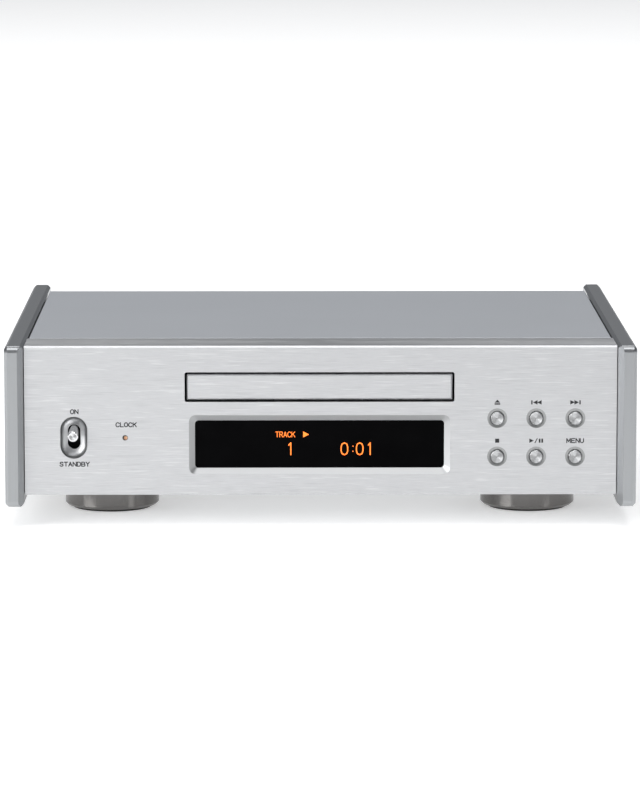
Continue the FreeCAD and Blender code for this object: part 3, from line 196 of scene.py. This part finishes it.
def plastic(name, colour, rough, grain_scale=1600.0, swing=0.08, depth=0.08, coat=0.0):
    """Moulded plastic or paint with a fine grain."""
    material, tree, shader = new_material(name)
    vector = place_coordinates(tree, (1, 1, 1))
    fine = noise(tree, vector, grain_scale, 3.0)
    slow = noise(tree, vector, 25.0, 3.0)
    dark, light = tones(colour, swing)
    tree.links.new(ramp(tree, slow, [(0.3, dark), (0.7, light)]), shader.inputs["Base Color"])
    tree.links.new(spread(tree, fine, rough - 0.05, rough + 0.05), shader.inputs["Roughness"])
    shader.inputs["Coat Weight"].default_value = coat
    bump(tree, shader, fine, depth, 0.0002)
    return material


def glowing(name, colour, strength):
    """A lit, faintly uneven surface, as a fluorescent display's glyph or a small lamp."""
    material, tree, shader = new_material(name)
    cloud = noise(tree, place_coordinates(tree, (1, 1, 1)), 900.0, 2.0)
    dark, light = tones(colour, 0.12)
    colours = ramp(tree, cloud, [(0.3, dark), (0.7, light)])
    tree.links.new(colours, shader.inputs["Base Color"])
    tree.links.new(colours, shader.inputs["Emission Color"])
    shader.inputs["Emission Strength"].default_value = strength
    shader.inputs["Roughness"].default_value = 0.4
    return material


def brushed_front():
    """Silver anodised aluminium: hair-fine horizontal lines with a few longer scratches."""
    material, tree, shader = new_material("brushed_front")
    lines = noise(tree, place_coordinates(tree, (3.0, 60, 120)), 42.0, 7.0, 0.7)
    streaks = noise(tree, place_coordinates(tree, (1.5, 9, 34)), 42.0, 2.0, 0.5)
    few = ramp(tree, streaks, [(0.30, 0.34), (0.40, 0.5), (0.60, 0.5), (0.70, 0.74)])
    both = tree.nodes.new("ShaderNodeMix")
    both.inputs["Factor"].default_value = 0.5
    tree.links.new(lines, both.inputs[2])
    tree.links.new(few, both.inputs[3])
    stops = [(0.36, (0.50, 0.505, 0.515)), (0.5, (0.575, 0.58, 0.59)),
             (0.64, (0.67, 0.675, 0.68))]
    tree.links.new(ramp(tree, both.outputs[0], stops), shader.inputs["Base Color"])
    tree.links.new(spread(tree, both.outputs[0], 0.28, 0.46), shader.inputs["Roughness"])
    shader.inputs["Metallic"].default_value = 1.0
    shader.inputs["Anisotropic"].default_value = 0.3
    bump(tree, shader, both.outputs[0], 0.22, 0.0002)
    return material


def turned_foot():
    """Dark bright nickel over fine lathe lines that run round each foot."""
    material = metal("foot_metal", (0.19, 0.184, 0.178), 0.24, (1, 1, 60), 260.0, 0.05, 0.03,
                     rough_swing=0.04)
    tree = material.node_tree
    shader = next(one for one in tree.nodes if one.type == "BSDF_PRINCIPLED")
    turned_highlight(tree, shader, "Z")
    return material


def spun_metal_painted_highlight(name, colour, rough, centre, rings=5200.0, painted_highlight_swing=0.36):
    """Turned metal: fine rings round an axis along Y, with a fan-shaped painted highlight and
    painted shade in the base colour.
    """
    material, tree, shader = new_material(name)
    place = from_middle(tree, centre)
    flat = tree.nodes.new("ShaderNodeVectorMath")
    flat.operation = "MULTIPLY"
    flat.inputs[1].default_value = (1, 0, 1)
    tree.links.new(place, flat.inputs[0])
    reach = tree.nodes.new("ShaderNodeVectorMath")
    reach.operation = "LENGTH"
    tree.links.new(flat.outputs[0], reach.inputs[0])
    wave = arithmetic(tree, "MULTIPLY", reach.outputs["Value"], rings)
    sine = arithmetic(tree, "SINE", wave.outputs[0])
    fine = tree.nodes.new("ShaderNodeMapRange")
    fine.inputs["From Min"].default_value = -1
    tree.links.new(sine.outputs[0], fine.inputs["Value"])
    part = tree.nodes.new("ShaderNodeSeparateXYZ")
    tree.links.new(place, part.inputs["Vector"])
    face = tree.nodes.new("ShaderNodeCombineXYZ")
    tree.links.new(part.outputs["X"], face.inputs["X"])
    tree.links.new(part.outputs["Z"], face.inputs["Y"])
    # Painted highlight and painted shade: two light and two dark fan-shaped sectors of base colour
    # round the axis, fixed to the part.
    dark, light = tones(colour, painted_highlight_swing)
    middle = tuple((a + b) / 2 for a, b in zip(dark, light))
    painted_highlight_wedges = ramp(tree, turn_fraction(tree, face.outputs["Vector"]), [
        (0.0, dark), (0.16, middle), (0.24, light), (0.36, light), (0.44, middle), (0.56, dark),
        (0.66, middle), (0.74, light), (0.84, light), (0.94, dark)])
    tree.links.new(painted_highlight_wedges, shader.inputs["Base Color"])
    tree.links.new(spread(tree, fine.outputs["Result"], rough - 0.03, rough + 0.03),
                   shader.inputs["Roughness"])
    shader.inputs["Metallic"].default_value = 1.0
    turned_highlight(tree, shader, "Y")
    bump(tree, shader, fine.outputs["Result"], 0.15, 0.0001)
    return material


def circuit_board():
    """Green solder mask with faint copper tracks below it."""
    material, tree, shader = new_material("circuit_board")
    vector = place_coordinates(tree, (1, 1, 1))
    brick = tree.nodes.new("ShaderNodeTexBrick")
    brick.inputs["Scale"].default_value = 190.0
    brick.inputs["Color1"].default_value = (0.012, 0.10, 0.035, 1)
    brick.inputs["Color2"].default_value = (0.02, 0.13, 0.045, 1)
    brick.inputs["Mortar"].default_value = (0.05, 0.24, 0.09, 1)
    brick.inputs["Mortar Size"].default_value = 0.03
    tree.links.new(vector, brick.inputs["Vector"])
    tree.links.new(brick.outputs["Color"], shader.inputs["Base Color"])
    tree.links.new(spread(tree, noise(tree, vector, 300.0), 0.28, 0.4), shader.inputs["Roughness"])
    bump(tree, shader, brick.outputs["Fac"], 0.2, 0.0001)
    return material


WRAP_TURNS = 36


def wound_tape():
    """Amber wrap in overlapping turns over the transformer's windings."""
    material, tree, shader = new_material("wound_tape")
    place = from_middle(tree, middle_of("toroidal_transformer"))
    saw = arithmetic(tree, "MULTIPLY", turn_fraction(tree, place), WRAP_TURNS)
    step = arithmetic(tree, "FRACT", saw.outputs[0])
    colours = ramp(tree, step.outputs[0], [(0.0, (0.34, 0.17, 0.02)), (0.15, (0.62, 0.36, 0.05)),
                                           (1.0, (0.72, 0.45, 0.08))])
    tree.links.new(colours, shader.inputs["Base Color"])
    tree.links.new(spread(tree, noise(tree, place, 400.0), 0.25, 0.4),
                   shader.inputs["Roughness"])
    bump(tree, shader, step.outputs[0], 0.5, 0.0005)
    return material


def smoked_glass():
    """Glossy near-black acrylic with the slightest smudging in its gloss."""
    material, tree, shader = new_material("smoked_glass")
    vector = place_coordinates(tree, (1, 1, 1))
    cloud = noise(tree, vector, 40.0, 3.0)
    colours = ramp(tree, cloud, [(0.3, (0.0012, 0.0012, 0.0014)), (0.7, (0.0022, 0.0022, 0.0025))])
    tree.links.new(colours, shader.inputs["Base Color"])
    tree.links.new(spread(tree, cloud, 0.05, 0.10), shader.inputs["Roughness"])
    shader.inputs["Specular IOR Level"].default_value = 0.012
    return material


# ---------------------------------------------------------------- materials of the CAD nodes

SIDE_METAL = metal("side_metal", (0.38, 0.39, 0.40), 0.30, (30, 1, 30), 180.0, 0.02, 0.001,
                   rough_swing=0.015)
COVER_METAL = metal("cover_metal", (0.55, 0.57, 0.60), 0.46, (1, 1, 1), 2400.0, 0.04, 0.10)
PLATED = metal("plated_sheet", (0.50, 0.51, 0.52), 0.34, (8, 1, 1), 160.0, 0.10, 0.05)
TURNED = metal("turned_steel", (0.60, 0.60, 0.61), 0.25, (1, 1, 40), 300.0, 0.05, 0.05)
BLACK_SHEET = plastic("black_sheet", (0.018, 0.018, 0.019), 0.5, 2600.0, 0.1, 0.25)
BLACK_MOULD = plastic("black_mould", (0.02, 0.02, 0.021), 0.48, 2200.0, 0.1, 0.15)
GREY_MOULD = plastic("grey_mould", (0.075, 0.076, 0.08), 0.5, 2200.0, 0.08, 0.15)
NATURAL_MOULD = plastic("natural_mould", (0.62, 0.60, 0.54), 0.42, 1500.0, 0.05, 0.06)
SLEEVE = plastic("can_sleeve", (0.012, 0.014, 0.03), 0.25, 700.0, 0.1, 0.04, 0.3)
SOFT_PAD = plastic("soft_pad", (0.025, 0.025, 0.026), 0.9, 3500.0, 0.25, 0.6)
FOOT_METAL = turned_foot()
GOLD = metal("gold_plate", (0.86, 0.60, 0.24), 0.2, (1, 30, 1), 300.0, 0.05, 0.04)
NICKEL = metal("nickel_plate", (0.74, 0.74, 0.75), 0.14, (1, 1, 1), 500.0, 0.03, 0.02,
               rough_swing=0.03)
RING_METAL = metal("ring_metal", (0.34, 0.345, 0.345), 0.36, (1, 1, 1), 400.0, 0.03, 0.004,
                   rough_swing=0.02)
FRAME_METAL = metal("frame_metal", (0.42, 0.425, 0.43), 0.40, (1, 1, 1), 300.0, 0.02, 0.004,
                    rough_swing=0.02)
BOWL_METAL = metal("bowl_metal", (0.42, 0.425, 0.43), 0.38, (1, 1, 1), 300.0, 0.02, 0.004,
                   rough_swing=0.02)
FRONT_METAL = brushed_front()
BOARD = circuit_board()
TAPE = wound_tape()
GLASS = smoked_glass()

FINISHES = {
    "front_panel": FRONT_METAL, "tray_door": FRONT_METAL,
    "left_side_panel": SIDE_METAL, "right_side_panel": SIDE_METAL, "top_cover": COVER_METAL,
    "bottom_chassis": PLATED, "front_bracket": BLACK_SHEET, "rear_panel": BLACK_SHEET,
    "display_window": GLASS, "display_module": BLACK_MOULD, "front_circuit_board": BOARD,
    "tact_switches": BLACK_MOULD, "power_switch": BLACK_MOULD, "power_toggle": NICKEL,
    "front_left_foot": FOOT_METAL, "front_right_foot": FOOT_METAL, "rear_foot": FOOT_METAL,
    "foot_pads": SOFT_PAD, "foot_bolts": PLATED, "loader_frame": BLACK_MOULD,
    "loading_motor": TURNED, "loading_belt": SOFT_PAD, "clamp_bridge": PLATED,
    "toroidal_transformer": TAPE, "transformer_clamp": PLATED, "power_supply_board": BOARD,
    "supply_capacitors": SLEEVE, "heat_sink": BLACK_SHEET, "main_board": BOARD,
    "board_chips": BLACK_MOULD, "mains_inlet": BLACK_MOULD, "coaxial_socket": GOLD,
    "clock_socket": NICKEL, "optical_socket": BLACK_MOULD, "optical_flap": GREY_MOULD,
    "ribbon_cable": NATURAL_MOULD, "case_screws": PLATED, "standoffs": PLATED,
    "disc_tray": GREY_MOULD, "drive_gear": NATURAL_MOULD, "belt_wheel": NATURAL_MOULD,
    "motor_pulley": GOLD, "cam_slider": NATURAL_MOULD, "traverse_frame": PLATED,
    "guide_rods": TURNED, "spindle_motor": TURNED, "sled_motor": TURNED,
    "turntable": BLACK_MOULD, "disc_clamp": NATURAL_MOULD, "pickup_sled": BLACK_MOULD,
    "lens_holder": GREY_MOULD, "sled_gear": NATURAL_MOULD, "sled_pinion": GOLD,
    "clock_light": glowing("amber_lamp", (0.84, 0.47, 0.27), 0.2),
}


def paint_nodes():
    """Gives every carried-over node its material in place of the plain slot colour."""
    for name, material in FINISHES.items():
        node = NODES[name]
        node.data.materials.clear()
        node.data.materials.append(material)


# The buttons' faces get the fan-shaped painted highlight and painted shade in their base colour.
FINISHES.update({name: spun_metal_painted_highlight(name + "_painted_highlight", (0.51, 0.515, 0.52), 0.40, middle_of(name))
                 for name in BUTTONS})
paint_nodes()


# ---------------------------------------------------------------- mesh helpers

SHARP_FROM = math.radians(40)


def add_mesh(name, mesh, material, body, smooth=False):
    """Puts a bmesh into the scene as a piece that rides on a body."""
    bmesh.ops.recalc_face_normals(mesh, faces=mesh.faces)
    data = bpy.data.meshes.new(name)
    mesh.to_mesh(data)
    mesh.free()
    if smooth:
        for face in data.polygons:
            face.use_smooth = True
        data.set_sharp_from_angle(angle=SHARP_FROM)
    piece = bpy.data.objects.new(name, data)
    bpy.context.scene.collection.objects.link(piece)
    data.materials.append(material)
    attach(piece, body)


def bridge(mesh, loops):
    """Joins loops of equal length, and the last to the first, into a closed skin."""
    count = len(loops[0])
    for number, here in enumerate(loops):
        there = loops[(number + 1) % len(loops)]
        for corner in range(count):
            after = (corner + 1) % count
            mesh.faces.new((here[corner], here[after], there[after], there[corner]))


def lathe(mesh, profile, centre, axis, segments):
    """Adds a closed turned ring: profile points are (radius, distance along the axis)."""
    axis = Vector(axis).normalized()
    side = axis.orthogonal().normalized()
    other = axis.cross(side)
    rings = []
    for number in range(segments):
        angle = 2 * math.pi * number / segments
        out = side * math.cos(angle) + other * math.sin(angle)
        rings.append([mesh.verts.new(Vector(centre) + out * radius + axis * along)
                      for radius, along in profile])
    bridge(mesh, rings)


def front_plate(mesh, outline, front):
    """A thin plate facing the viewer, from an outline of (x, z) points."""
    near = [mesh.verts.new((x, front, z)) for x, z in outline]
    far = [mesh.verts.new((x, front + PRINT_THICK, z)) for x, z in outline]
    mesh.faces.new(near)
    mesh.faces.new(list(reversed(far)))
    count = len(outline)
    for number in range(count):
        after = (number + 1) % count
        mesh.faces.new((near[after], near[number], far[number], far[after]))


# ---------------------------------------------------------------- printed marks

# Each letter is drawn with strokes: lists of points on a grid about 4 wide and 6 high, joined by
# bars with round ends.
STROKES = {
    "A": [[(0, 0), (2, 6), (4, 0)], [(0.7, 2), (3.3, 2)]],
    "B": [[(0, 0), (0, 6), (2.6, 6), (3.6, 5.2), (3.6, 3.9), (2.6, 3.1), (0, 3.1)],
          [(2.6, 3.1), (4, 2.3), (4, 0.8), (2.8, 0), (0, 0)]],
    "C": [[(4, 4.8), (3.2, 5.8), (2, 6), (0.8, 5.6), (0, 4.2), (0, 1.8), (0.8, 0.4), (2, 0),
           (3.2, 0.2), (4, 1.2)]],
    "D": [[(0, 0), (0, 6), (2.2, 6), (3.5, 5.2), (4, 3.6), (4, 2.4), (3.5, 0.8), (2.2, 0),
           (0, 0)]],
    "E": [[(3.8, 6), (0, 6), (0, 0), (3.8, 0)], [(0, 3.1), (3.2, 3.1)]],
    "K": [[(0, 0), (0, 6)], [(4, 6), (0, 2.4)], [(1.5, 3.8), (4, 0)]],
    "L": [[(0, 6), (0, 0), (3.6, 0)]],
    "M": [[(0, 0), (0, 6), (2.2, 1.6), (4.4, 6), (4.4, 0)]],
    "N": [[(0, 0), (0, 6), (4, 0), (4, 6)]],
    "O": [[(2, 0), (0.8, 0.4), (0, 1.8), (0, 4.2), (0.8, 5.6), (2, 6), (3.2, 5.6), (4, 4.2),
           (4, 1.8), (3.2, 0.4), (2, 0)]],
    "R": [[(0, 0), (0, 6), (2.8, 6), (3.8, 5.2), (3.8, 3.8), (2.8, 3), (0, 3)],
          [(2.2, 3), (4, 0)]],
    "S": [[(3.8, 4.9), (3.1, 5.8), (2, 6), (0.8, 5.7), (0.2, 4.7), (0.8, 3.5), (3.2, 2.7),
           (3.9, 1.6), (3.3, 0.4), (2, 0), (0.8, 0.2), (0, 1.2)]],
    "T": [[(0, 6), (4, 6)], [(2, 6), (2, 0)]],
    "U": [[(0, 6), (0, 1.6), (0.8, 0.3), (2, 0), (3.2, 0.3), (4, 1.6), (4, 6)]],
    "Y": [[(0, 6), (2, 3), (4, 6)], [(2, 3), (2, 0)]],
    "0": [[(1.9, 0), (0.7, 0.5), (0.2, 2), (0.2, 4), (0.7, 5.5), (1.9, 6), (3.1, 5.5),
           (3.6, 4), (3.6, 2), (3.1, 0.5), (1.9, 0)]],
    "1": [[(1, 4.9), (2, 6), (2, 0)]],
    ":": [[(1, 4.3), (1, 4.35)], [(1, 1.7), (1, 1.75)]],
}
ADVANCE = {"M": 6.0, ":": 2.6, "1": 4.2, "L": 5.0}
PLAIN_ADVANCE, LETTER_GAP = 5.4, 1.4
PRINT_THICK, LAYER_STEP = 0.03 * MM, 0.0004 * MM
LABEL_WEIGHT, LABEL_WIDE = 0.74, 1.17
INK = plastic("label_ink", (0.012, 0.012, 0.014), 0.55, 3000.0, 0.2, 0.1)
AMBER = glowing("amber_segments", (1.0, 0.20, 0.02), 1.0)


def stroke_bar(mesh, start, end, radius, front):
    """One bar with round ends between two (x, z) points."""
    start, end = Vector(start), Vector(end)
    along = (end - start).normalized() if (end - start).length > 1e-9 else Vector((1, 0))
    heading = math.atan2(along.y, along.x)
    outline = []
    for centre, base in ((end, heading - math.pi / 2), (start, heading + math.pi / 2)):
        for step in range(7):
            angle = base + math.pi * step / 6
            outline.append((centre.x + radius * math.cos(angle),
                            centre.y + radius * math.sin(angle)))
    front_plate(mesh, outline, front)


def write(mesh, text, centre_x, base_z, height, front, weight, narrow=1.0):
    """Draws a word centred on x, each stroke a thin bar on one of nine close layers."""
    unit = height / 6
    width = sum(ADVANCE.get(letter, PLAIN_ADVANCE) for letter in text) - LETTER_GAP
    x = centre_x - width * unit * narrow / 2
    layer = 0
    for letter in text:
        for line in STROKES[letter]:
            for first, second in zip(line, line[1:]):
                depth = front - LAYER_STEP * (layer % 9)
                stroke_bar(mesh, (x + first[0] * unit * narrow, base_z + first[1] * unit),
                           (x + second[0] * unit * narrow, base_z + second[1] * unit),
                           weight * unit, depth)
                layer += 1
        x += ADVANCE.get(letter, PLAIN_ADVANCE) * unit * narrow


def triangle(mesh, x, z, size, front, way=1):
    """A sideways triangle whose tip points along way."""
    outline = [(x - way * size * 0.5, z - size / 2), (x + way * size * 0.5, z),
               (x - way * size * 0.5, z + size / 2)]
    front_plate(mesh, outline, front)


def bar(mesh, low_x, high_x, low_z, high_z, front):
    """An upright or level rectangle."""
    outline = [(low_x, low_z), (high_x, low_z), (high_x, high_z), (low_x, high_z)]
    front_plate(mesh, outline, front)


def make_labels():
    """Dark printed words and symbols on the front."""
    front = FRONT - 0.02 * MM
    ink = bmesh.new()
    toggle = middle_of("power_toggle")
    light = middle_of("clock_light")
    cap, up = 1.9 * MM, 7.35 * MM
    row = {name: middle_of(name) for name in BUTTONS}
    menu = row["menu_button"]
    for word, x, z in (("ON", toggle.x + 0.3 * MM, light.z + 11.2 * MM),
                       ("STANDBY", toggle.x + 0.3 * MM, light.z - 13.2 * MM),
                       ("CLOCK", light.x + 0.5 * MM, light.z + 5.1 * MM),
                       ("MENU", menu.x, menu.z + up - cap / 2)):
        write(ink, word, x, z, cap, front, LABEL_WEIGHT, LABEL_WIDE)
    symbols(ink, row, up, front)
    add_mesh("front_labels", ink, INK, "case")


def symbols(ink, row, up, front):
    """Transport symbols: eject, previous, next, stop and play with pause."""
    wide, half, arrow = 1.3 * MM, 0.95 * MM, 2.1 * MM
    at, z = row["eject_button"], row["eject_button"].z + up
    front_plate(ink, [(at.x - wide, z - 0.1 * MM), (at.x + wide, z - 0.1 * MM),
                      (at.x, z + wide)], front)
    bar(ink, at.x - wide, at.x + wide, z - 1.05 * MM, z - 0.4 * MM, front)
    for name, way in (("previous_button", -1), ("next_button", 1)):
        at, z = row[name], row[name].z + up
        triangle(ink, at.x - way * 1.35 * MM, z, arrow, front, way)
        triangle(ink, at.x + way * 0.55 * MM, z, arrow, front, way)
        edge = at.x + way * arrow
        bar(ink, edge - 0.32 * MM, edge + 0.32 * MM, z - half, z + half, front)
    at, z = row["stop_button"], row["stop_button"].z + up
    bar(ink, at.x - half, at.x + half, z - half, z + half, front)
    at, z = row["play_button"], row["play_button"].z + up
    triangle(ink, at.x - arrow, z, arrow, front)
    stroke_bar(ink, (at.x - 0.55 * MM, z - half), (at.x + 0.45 * MM, z + half), 0.22 * MM, front)
    for shift in (1.2, 2.4):
        low = at.x + shift * MM
        bar(ink, low, low + 0.78 * MM, z - half, z + half, front)


def make_glyphs():
    """The lit characters, just in front of the window's glass."""
    low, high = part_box("display_window")
    front = low[1] - 0.06 * MM
    middle = (low[0] + high[0]) / 2
    digit, digit_z = 5.5 * MM, low[2] + 7.35 * MM
    lit = bmesh.new()
    write(lit, "TRACK", middle - 15.8 * MM, low[2] + 15.6 * MM, 2.4 * MM, front, 0.34, 0.86)
    triangle(lit, middle - 6.2 * MM, low[2] + 16.8 * MM, 2.7 * MM, front)
    write(lit, "1", middle - 13.8 * MM, digit_z, digit, front, 0.27)
    write(lit, "0:01", middle + 16.9 * MM, digit_z, digit, front, 0.27, 0.96)
    add_mesh("display_glyphs", lit, AMBER, "case")


make_labels()
make_glyphs()


# ---------------------------------------------------------------- trim and inner details

def make_button_rings():
    """Darker turned rings that line the sunk seats round the buttons."""
    rings = bmesh.new()
    for name in BUTTONS:
        at = middle_of(name)
        lathe(rings, [(4.55 * MM, -0.05 * MM), (4.55 * MM, 0.01 * MM), (4.36 * MM, -0.005 * MM),
                      (3.24 * MM, 0.34 * MM), (3.24 * MM, 0.26 * MM), (4.34 * MM, -0.05 * MM)],
              (at.x, FRONT, at.z), (0, 1, 0), 64)
    add_mesh("button_rings", rings, RING_METAL, "case", True)


def make_light_painted_shadow_collar():
    """A dark collar in the hole round the clock light, widest on its upper left: painted shadow
    that the hole's rim casts.
    """
    at = middle_of("clock_light")
    collar = bmesh.new()
    loops = []
    # The inner edge is moved right and down, so that the painted shadow is widest on the upper
    # left.
    for radius, shift, depth in ((1.23, 0, 0.04), (0.86, 0.24, 0.1), (0.86, 0.24, 0.16),
                                 (1.23, 0, 0.16)):
        loop = []
        for step in range(48):
            angle = math.tau * step / 48
            across, up = shift + radius * math.cos(angle), radius * math.sin(angle) - shift / 2
            loop.append(collar.verts.new((at.x + across * MM, FRONT + depth * MM,
                                          at.z + up * MM)))
        loops.append(loop)
    bridge(collar, loops)
    add_mesh("clock_light_painted_shadow_collar", collar, BLACK_MOULD, "case")


def rounded_loop(mesh, half, low, high, radius, depth, centre_x):
    """One rounded rectangle facing the viewer, as a loop of points at a depth in the front."""
    points = []
    corners = ((half - radius, high - radius, 0), (radius - half, high - radius, 1),
               (radius - half, low + radius, 2), (half - radius, low + radius, 3))
    for across, up, quarter in corners:
        for step in range(7):
            angle = math.pi / 2 * (quarter + step / 6)
            points.append(mesh.verts.new((centre_x + (across + radius * math.cos(angle)) * MM,
                                          FRONT + depth * MM,
                                          (up + radius * math.sin(angle)) * MM)))
    return points


def pill_ring(mesh, half_width, half_height, depth, centre_x):
    """One upright outline with round ends round the toggle, as a loop of points."""
    rise, points = half_height - half_width, []
    for turn, shift in ((0.0, rise), (math.pi, -rise)):
        for step in range(17):
            angle = turn + math.pi * step / 16
            points.append(mesh.verts.new((centre_x + half_width * math.cos(angle) * MM,
                                          FRONT + depth * MM,
                                          (POWER_Z + shift + half_width * math.sin(angle)) * MM)))
    return points


def make_toggle_bowl():
    """A satin liner that follows the dished pill round the power toggle."""
    liner = bmesh.new()
    low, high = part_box("power_toggle")
    dish = []
    for step in range(BOWL_STEPS + 1):
        turn = math.pi / 2 * step / BOWL_STEPS
        dish.append([lip + spread * math.cos(turn) for lip, spread in zip(BOWL_LIP, BOWL_SPREAD)]
                    + [BOWL_DEEP * math.sin(turn)])
    loops = [[pill_ring(liner, wide - gap, tall - gap, deep - gap, (low[0] + high[0]) / 2)
              for wide, tall, deep in dish] for gap in (0.07, 0.03)]
    bridge(liner, loops[0] + loops[1][::-1])
    add_mesh("toggle_bowl_liner", liner, BOWL_METAL, "case", True)


def make_screen_frame():
    """A satin frame along the bevel round the screen."""
    low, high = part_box("display_window")
    centre_x = (low[0] + high[0]) / 2
    frame_mesh = bmesh.new()
    loops = [rounded_loop(frame_mesh, SCREEN_HALF - grow, SCREEN_LOW + grow, SCREEN_HIGH - grow,
                          SCREEN_ROUND - grow / 2, depth, centre_x)
             for grow, depth in ((0.03, -0.02), (SCREEN_BEVEL, 2.14), (SCREEN_BEVEL, 2.19),
                                 (0.03, 0.02))]
    bridge(frame_mesh, loops)
    add_mesh("screen_frame", frame_mesh, FRAME_METAL, "case", True)


def make_foot_shadows():
    """A thin dark ring under the top edge of each foot."""
    shadows = bmesh.new()
    for name in ("front_left_foot", "front_right_foot", "rear_foot"):
        low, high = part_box(name)
        at = middle_of(name)
        reach = (high[0] - low[0]) / 2
        lathe(shadows, [(reach - 0.9 * MM, -0.5 * MM), (reach - 0.25 * MM, -0.35 * MM),
                        (reach - 0.25 * MM, 0.35 * MM), (reach - 0.9 * MM, 0.5 * MM)],
              (at.x, at.y, high[2] - 0.5 * MM), (0, 0, 1), 96)
    add_mesh("foot_shadow_rings", shadows, BLACK_SHEET, "case", True)


def make_toggle_face():
    """The spun end face of the power toggle, a thin turned disc square to the lever."""
    low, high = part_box("power_toggle")
    lean = math.radians(TOGGLE_LEAN)
    along = Vector((0, -math.cos(lean), -math.sin(lean)))
    pivot = Vector(((low[0] + high[0]) / 2, TOGGLE_PIVOT_Y * MM, TOGGLE_PIVOT_Z * MM))
    tip = pivot + along * TOGGLE_REACH * MM
    face = bmesh.new()
    lathe(face, [(0.03 * MM, -0.02 * MM), (1.62 * MM, -0.02 * MM), (1.68 * MM, 0.0),
                 (1.62 * MM, 0.012 * MM), (0.9 * MM, 0.006 * MM), (0.03 * MM, 0.0)],
          tip, along, 64)
    # The end face gets the same fan-shaped painted highlight and painted shade in its base colour.
    spun = spun_metal_painted_highlight("toggle_painted_highlight", (0.54, 0.545, 0.55), 0.42, tuple(tip), 9000.0, 0.45)
    add_mesh("toggle_end_face", face, spun, "toggle")


make_button_rings()
make_light_painted_shadow_collar()
make_toggle_bowl()
make_screen_frame()
make_foot_shadows()
make_toggle_face()


# ---------------------------------------------------------------- floor, light and camera

FLOOR = -0.05 * MM


def make_floor():
    """A pale level floor, larger than the view."""
    plane = bmesh.new()
    plane.faces.new([plane.verts.new((x, y, FLOOR))
                     for x, y in ((-7, -7), (7, -7), (7, 11), (-7, 11))])
    data = bpy.data.meshes.new("studio_floor")
    plane.to_mesh(data)
    plane.free()
    floor = bpy.data.objects.new("studio_floor", data)
    bpy.context.scene.collection.objects.link(floor)
    paper = plastic("pale_floor", (0.92, 0.92, 0.92), 0.8, 60.0, 0.01, 0.0)
    shader = next(one for one in paper.node_tree.nodes if one.type == "BSDF_PRINCIPLED")
    shader.inputs["Emission Color"].default_value = (1, 1, 1, 1)
    shader.inputs["Emission Strength"].default_value = 0.42
    data.materials.append(paper)


def add_area(name, place, aim, size, power):
    """A soft rectangular studio light aimed at a point."""
    data = bpy.data.lights.new(name, "AREA")
    data.shape = "RECTANGLE"
    data.size, data.size_y = size
    data.energy = power
    light = bpy.data.objects.new(name, data)
    light.location = place
    light.visible_camera = False
    light.rotation_euler = (Vector(aim) - Vector(place)).to_track_quat("-Z", "Y").to_euler()
    bpy.context.scene.collection.objects.link(light)


def make_lights():
    """Soft studio lights, stronger from the left, and a wash over the floor behind."""
    aim = (0, 0, 0.04)
    add_area("key_left", (-1.8, -1.8, 1.6), aim, (1.0, 1.2), 19)
    add_area("low_left", (-2.15, -1.5, 0.42), aim, (1.4, 0.7), 30)
    add_area("low_right", (1.9, -1.8, 0.36), aim, (0.6, 0.6), 4)
    add_area("fill_right", (2.2, -1.0, 0.8), aim, (0.5, 1.3), 2)
    add_area("front_sheet", (-2.0, -2.6, 1.1), aim, (1.0, 0.8), 18)
    add_area("top_sheet", (0, -0.8, 2.2), aim, (1.8, 1.5), 19)
    add_area("floor_wash", (0, 2.2, 2.6), (0, 2.6, 0.0), (3.0, 2.0), 40)


def make_world():
    """A dim, cool surround that brightens upwards."""
    world = bpy.data.worlds.new("studio")
    world.use_nodes = True
    tree = world.node_tree
    where = tree.nodes.new("ShaderNodeTexCoord")
    part = tree.nodes.new("ShaderNodeSeparateXYZ")
    tree.links.new(where.outputs["Generated"], part.inputs["Vector"])
    sky = ramp(tree, part.outputs["Z"], [(0.0, (0.62, 0.64, 0.68)), (0.85, (0.95, 0.97, 1.0))])
    background = tree.nodes["Background"]
    tree.links.new(sky, background.inputs["Color"])
    background.inputs["Strength"].default_value = 0.30
    bpy.context.scene.world = world
    bpy.context.scene.view_settings.view_transform = "Standard"


def make_camera():
    """A long lens a little above the player, turned slightly to the right."""
    data = bpy.data.cameras.new("camera")
    data.lens = 195.43
    data.sensor_width = 36
    data.clip_end = 50
    camera = bpy.data.objects.new("camera", data)
    yaw, pitch = math.radians(0.441), math.radians(8.236)
    camera.location = (-0.01551, -2.08966, 0.34478)
    camera.rotation_euler = (math.pi / 2 - pitch, 0, -yaw)
    bpy.context.scene.collection.objects.link(camera)
    bpy.context.scene.camera = camera


make_floor()
make_lights()
make_world()
make_camera()
